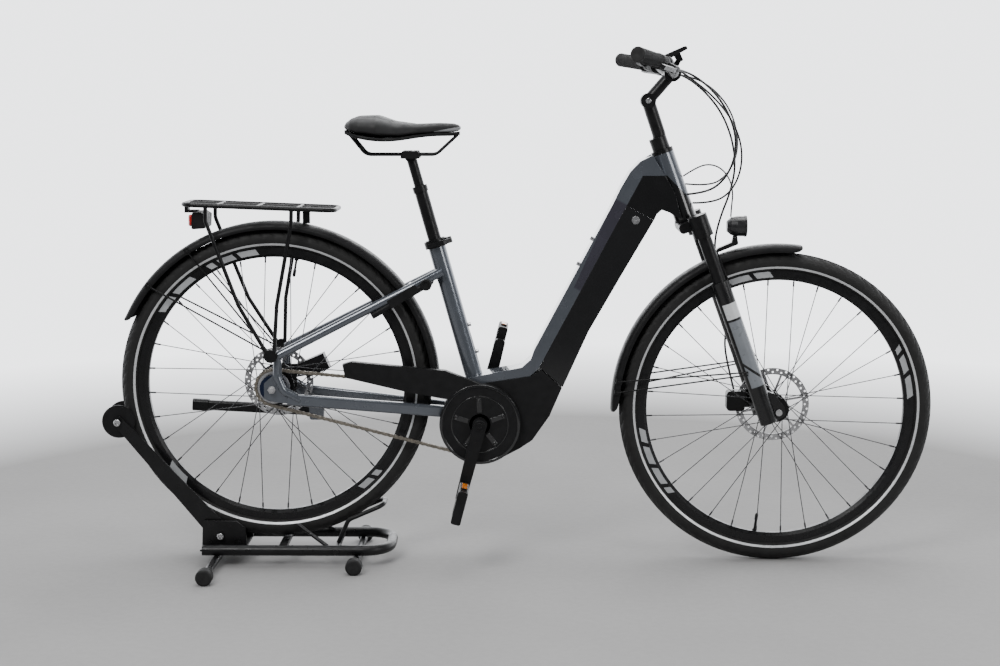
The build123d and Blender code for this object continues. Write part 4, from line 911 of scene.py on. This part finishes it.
# name, place, size and power
LIGHTS = [("key", (-1.8, -3.0, 3.4), 1.6, 120), ("fill", (2.8, -2.4, 1.8), 1.4, 45),
          ("top", (0.2, 0.2, 3.8), 2.6, 95), ("back", (0.5, 3.4, 2.6), 2.4, 50)]
CAMERA_PLACE = (0.019, -3.824, 1.071)
CAMERA_YAW, CAMERA_PITCH, CAMERA_ROLL = -0.84, 8.08, -0.05
CAMERA_LENS = 60.8
STUDIO = (0.93, 0.945, 0.97)


def sky(n, x, y):
    """Strength of the studio in a level direction: bright behind the object, dim before it."""
    reach = n.math("SQRT", n.math("ADD", n.math("MULTIPLY", x, x), n.math("MULTIPLY", y, y)))
    ratio = n.math("DIVIDE", y, n.math("MAXIMUM", reach, 0.0001))
    ease = n.tree.nodes.new("ShaderNodeMapRange")
    ease.interpolation_type = "SMOOTHSTEP"
    for k, v in enumerate((ratio, -0.45, 0.75, NEAR_GLOW, FAR_GLOW)):
        n.put(ease.inputs[k], v)
    return ease.outputs[0], reach


def ground():
    """A pale floor that fades into the world's colour with distance."""
    n = Nodes("floor_look")
    split = n.tree.nodes.new("ShaderNodeSeparateXYZ")
    n.put(split.inputs[0], n.place)
    n.tree.nodes.remove(n.tree.nodes["Principled BSDF"])
    strength, reach = sky(n, split.outputs[0], split.outputs[1])
    far = n.span(reach, FADE_FROM, FADE_TO)
    soft = n.span(n.noise(1.4, 5.0), 0.35, 0.65, 0.95, 1.05)
    fine = n.span(n.noise(60.0, 4.0), 0.35, 0.65, 0.98, 1.02)
    tone = n.tree.nodes.new("ShaderNodeVectorMath")
    tone.operation = "SCALE"
    tone.inputs[0].default_value = (0.3, 0.297, 0.295)
    n.put(tone.inputs["Scale"], n.math("MULTIPLY", soft, fine))
    diffuse = n.tree.nodes.new("ShaderNodeBsdfDiffuse")
    n.put(diffuse.inputs[0], tone.outputs[0])
    glow = n.tree.nodes.new("ShaderNodeEmission")
    glow.inputs[0].default_value = (*STUDIO, 1)
    n.put(glow.inputs[1], strength)
    blend = n.tree.nodes.new("ShaderNodeMixShader")
    n.put(blend.inputs[0], far)
    n.tree.links.new(diffuse.outputs[0], blend.inputs[1])
    n.tree.links.new(glow.outputs[0], blend.inputs[2])
    n.tree.links.new(blend.outputs[0], n.tree.nodes["Material Output"].inputs[0])
    mesh = bpy.data.meshes.new("floor")
    half = FLOOR_HALF
    mesh.from_pydata([(-half, -half, 0), (half, -half, 0), (half, half, 0), (-half, half, 0)], [],
                     [(0, 1, 2, 3)])
    floor = bpy.data.objects.new("floor", mesh)
    bpy.context.scene.collection.objects.link(floor)
    floor.data.materials.append(n.material)


def studio():
    """The world's glow and four soft lights."""
    world = bpy.data.worlds.new("studio")
    bpy.context.scene.world = world
    world.use_nodes = True
    w = Tree(world.node_tree, "Generated")
    split = w.tree.nodes.new("ShaderNodeSeparateXYZ")
    w.put(split.inputs[0], w.place)
    strength, _ = sky(w, split.outputs[0], split.outputs[1])
    overhead = w.span(split.outputs[2], 0.3, 0.8, 1.0, 0.45)
    background = world.node_tree.nodes["Background"]
    background.inputs[0].default_value = (*STUDIO, 1)
    w.put(background.inputs[1], w.math("MULTIPLY", strength, overhead))

    for name, place, size, power in LIGHTS:
        light = bpy.data.lights.new(name, "AREA")
        light.shape, light.size, light.energy = "SQUARE", size, power
        obj = bpy.data.objects.new(name, light)
        bpy.context.scene.collection.objects.link(obj)
        obj.location = place
        aim = Vector((0, 0, 0.6)) - Vector(place)
        obj.rotation_mode = "QUATERNION"
        obj.rotation_quaternion = aim.to_track_quat("-Z", "Y")
        obj.visible_camera = False


def camera():
    yaw, pitch, roll = (math.radians(v) for v in (CAMERA_YAW, CAMERA_PITCH, CAMERA_ROLL))
    ahead = Vector((math.sin(yaw) * math.cos(pitch), math.cos(yaw) * math.cos(pitch), -math.sin(pitch)))
    right = ahead.cross(Vector((0, 0, 1))).normalized()
    up = right.cross(ahead)
    right, up = (right * math.cos(roll) + up * math.sin(roll),
                 up * math.cos(roll) - right * math.sin(roll))
    data = bpy.data.cameras.new("camera")
    data.lens = CAMERA_LENS
    data.sensor_width = 36.0
    obj = bpy.data.objects.new("camera", data)
    bpy.context.scene.collection.objects.link(obj)
    rows = [(r, u, -a, p) for r, u, a, p in zip(right, up, ahead, CAMERA_PLACE)]
    obj.matrix_world = Matrix((*rows, (0, 0, 0, 1)))
    bpy.context.scene.camera = obj


ground()
studio()
camera()
bpy.context.view_layer.update()
